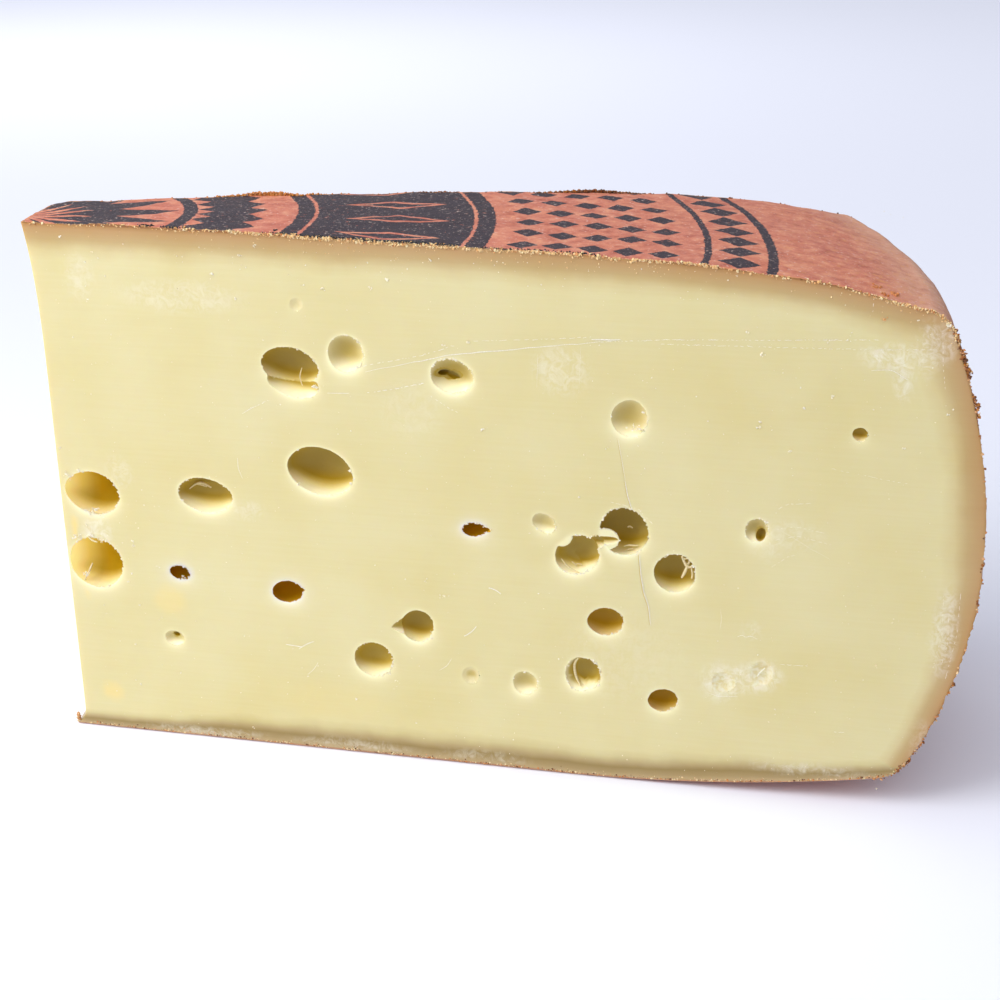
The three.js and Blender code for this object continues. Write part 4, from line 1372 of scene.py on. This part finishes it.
BROKEN_LINES = [
    (0.16, 0.62, [(134, 181), (144.1, 183.9), (164.2, 188.5), (178.7, 194)]),
    (0.13, 0.72, [(237, 198.6), (262, 200.9), (300, 202.9), (343.7, 205.5)]),
    (0.12, 0.6, [(260.5, 199.1), (299, 200.2), (340.4, 201.4), (366, 203)]),
    (0.2, 0.5, [(140.7, 171.3), (151.3, 173.3), (166, 177.2)]),
    (0.14, 0.6, [(93.6, 162.9), (100.9, 166.1)]),
    (0.16, 0.55, [(168, 172), (176, 167), (181, 164.8)]),
    (0.12, 0.5, [(243, 131), (254.5, 128.7), (261, 122)]),
    (0.12, 0.5, [(185, 196), (214, 198.4), (236, 200.6)]),
    (0.08, 0.4, [(330, 152), (350, 149), (366, 147)]), (0.12, 0.6, [(315.5, 63.3), (328, 63.7)]),
    (0.14, 0.7, [(339.8, 33.6), (348, 33.9)]), (0.08, 0.5, [(378, 102), (379.2, 84), (377, 66)]),
    (0.08, 0.5, [(384.5, 104), (385, 84), (382.5, 62)]),
    (0.08, 0.5, [(381, 92), (381.8, 80), (380.5, 70)]),
    (0.08, 0.4, [(366.4, 210), (368, 196), (370.5, 183)]), (0.09, 0.4, [(340, 222), (340.2, 214)]),
    (0.1, 0.6, [(310.2, 132.8), (314, 135.6), (326, 137)]),
    (0.1, 0.6, [(310.5, 124.5), (318.7, 126.1), (330, 124)]),
    (0.1, 0.6, [(310.3, 119.6), (319, 122.1), (334, 119)]),
    (0.1, 0.6, [(308.9, 107.1), (315.7, 112.6), (322, 114.8)]),
]
runs = [(radius, along(points, 3)) for radius, points in WHOLE_LINES]
for radius, share, points in BROKEN_LINES:  # share: how much of the line is left
    runs += [(radius, stretch) for stretch in dashes(points, share)]
strands("knife_lines", white_paste, runs, flat=0.4)

# %% [markdown]
# A hard cheese cracks where gas came late. The crack here closed again and shows as a pale lip with
# a yellow line beside it, a strand that is painted shade down the crack. Inside some eyes the blade
# pulled threads and a small web out of the soft paste. All are strands along a few points.

# %% Cracks, threads and the torn flap
CRACKS = [
    (0.2, [(248.6, 140.5), (249.9, 134), (251.7, 128.6)]),
    (0.09, [(245.2, 159), (247.2, 149), (248.7, 141)]),
    (0.24, [(255.5, 108.5), (256.5, 99), (257.9, 91.5), (260.2, 85), (261.3, 76.5)]),
]
runs = [(radius, along(points, 2.5)) for radius, points in CRACKS]
strands("crack_lips", white_paste, runs, flat=0.4)
# A golden strand beside the lip, painted shade down the closed crack, and soft paste pulled out
# into threads.
golden = crumb_material("painted_crack_shade", ((0.0, "#DFC878"), (1.0, "#DFC878")), 0.6)
pulled_paste = crumb_material("pulled_paste", ((0.0, "#EFE0AE"), (1.0, "#EFE0AE")), 0.5)
BESIDE, THINNER = 0.42, 0.9  # mm from the lip to the yellow line, and its share of the radius
runs = [(radius * THINNER, along([(x - BESIDE, z) for x, z in points], 2.5))
        for radius, points in CRACKS]
strands("crack_shadows", golden, runs, flat=0.25)
THREADS = [
    (0.3, [(112.4, 5.5, 178.6), (111.2, 6, 175.6), (111.4, 5.6, 173.0), (112.8, 4, 171.4)]),
    (0.5, [(9.9, 5, 80.9), (9.0, 4.2, 78.6), (8.1, 3, 76.2), (6.6, 0.3, 73.0)]),
    (0.62, [(230.9, 0.6, 57.3), (229.5, 1.4, 55.2), (229.1, 2, 52.4), (229.5, 2.4, 49.0),
            (230.6, 2, 46.0), (232.4, 0.8, 43.8)]),
    (0.35, [(235.6, 0.4, 57.9), (236.6, 0.2, 58.3), (238.0, 0.6, 56.6)]),
    (0.5, [(58.6, 5.8, 120.2), (60.6, 6.4, 122.2), (63.5, 6.6, 123.4), (66.2, 6.2, 122.9),
           (68.6, 5.8, 121.6)]),
    (0.35, [(61.8, 6.6, 122.4), (64.2, 6.6, 122.2), (66.4, 6.4, 121.6)]),
    (0.62, [(273.0, 0.4, 109.0), (273.7, 1.4, 106.6), (275.2, 1.6, 104.0), (277.0, 1.5, 103.7),
            (278.2, 1, 105.8)]),
    (0.8, [(275.2, 1.6, 104.2), (274.7, 1.9, 101.6), (273.2, 2.4, 98.4)]),
    (0.55, [(276.9, 1.5, 103.9), (278.0, 1.5, 100.6), (277.4, 1.6, 98.9)]),
    (0.6, [(275.1, 1.6, 104), (276.0, 1.9, 106.3), (276.9, 1.6, 107.8)]),
    (0.5, [(273.4, 0.8, 107.6), (275.0, 1.0, 108.2), (276.4, 0.8, 107.9)]),
    (0.45, [(248.6, 4.6, 109.6), (250.4, 4.6, 110.4), (252.4, 4.6, 110.2), (254.6, 4.0, 110.8)]),
    (0.3, [(222.9, 0.9, 103.4), (225.3, 0.9, 100.2), (228.3, 0.9, 98.3), (231.7, 0.5, 97.3)]),
    (0.4, [(249.6, 4.2, 107.9), (251.4, 4.4, 109.4), (252.8, 4.3, 108.6)]),
    (0.35, [(249.4, 8.6, 116.6), (250.4, 8.8, 117.5), (251.5, 8.6, 116.3)]),
    (0.3, [(228.4, 3.6, 99.9), (229.8, 3.8, 100.8), (231.3, 3.6, 100.0)]),
    (0.3, [(227.0, 3.4, 101.3), (228.2, 3.4, 100.4), (229.3, 3.2, 99.3)]),
    (0.5, [(11.8, -0.1, 96.6), (12.7, -0.25, 94.4), (15.8, -0.3, 94.0)]),
]
strands("paste_threads", pulled_paste, THREADS)

# %% [markdown]
# ## On the body
# The crumbs read their lines from the cheese in millimetres, so the cheese is put in its place
# last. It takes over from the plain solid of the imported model.

# %% The cheese on the body
place_piece(cheese)
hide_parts("emmental")

# %% [markdown]
# The camera stands where the photo was taken from: in front, to the right of the middle and above
# the top. Its place was found by fitting the corners of the piece and the print's rings.

# %% Camera
SENSOR = 36
FOCAL = 1590  # pixels of the photograph's 1000
EYE_POINT = Vector((311.5, -596.5, 381.8))
PITCH = math.radians(22.66)
HEADING = Vector((-0.1885, 0.9821, 0))
forward = HEADING * math.cos(PITCH) - Vector((0, 0, math.sin(PITCH)))
right = Vector((HEADING.y, -HEADING.x, 0))
up = right.cross(forward)
camera_data = bpy.data.cameras.new("camera")
camera_data.sensor_width = SENSOR
camera_data.lens = SENSOR * FOCAL / 1000
camera = add_object("camera", camera_data)
turned = Matrix((right, up, -forward)).transposed().to_4x4()
camera.matrix_world = Matrix.Translation(PLACE @ EYE_POINT) @ turned
bpy.context.scene.camera = camera

# %% [markdown]
# The piece stands on a plain white table. One large soft light from the left gives the paste its
# fall-off towards the heel, a wide weak one from above fills the eyes, and a third whitens the
# background. The world is a little blue, which is what tints the shadows.

# %% Floor and light
floor_bm = bmesh.new()
bmesh.ops.create_grid(floor_bm, x_segments=8, y_segments=8, size=9)
bmesh.ops.translate(floor_bm, verts=floor_bm.verts, vec=(0, 0, LOW.z - 0.0005))
floor_mesh = bpy.data.meshes.new("floor")
floor_bm.to_mesh(floor_mesh)
floor_bm.free()
floor = add_object("floor", floor_mesh)
floor_material, tree, shader = new_material("white_table")
feed(tree, shader, {"Base Color": "#EFF2FB", "Roughness": 0.7})
floor_mesh.materials.append(floor_material)

world = bpy.data.worlds.new("studio")
world.use_nodes = True
sky = world.node_tree.nodes["Background"]
feed(world.node_tree, sky, {"Color": (0.84, 0.86, 1.0, 1), "Strength": 0.5})
bpy.context.scene.world = world
bpy.context.scene.view_settings.view_transform = "Standard"


def lamp(name, kind, place, aim, energy, **settings):
    data = bpy.data.lights.new(name, kind)
    data.energy = energy
    for key, value in settings.items():
        setattr(data, key, value)
    made = add_object(name, data)
    made.location = place
    made.rotation_euler = (Vector(aim) - Vector(place)).to_track_quat("-Z", "Y").to_euler()


lamp("softbox", "AREA", (-0.78, -0.62, 0.92), (-0.05, 0, 0.1), 11.4, size=0.75)
lamp("ceiling", "SUN", (-0.3, -0.5, 1), (0, 0, 0), 1.2, angle=math.radians(80))
lamp("backdrop", "AREA", (-1.3, 2.0, 1.5), (-1.0, 2.7, 0), 14, size=1.2)
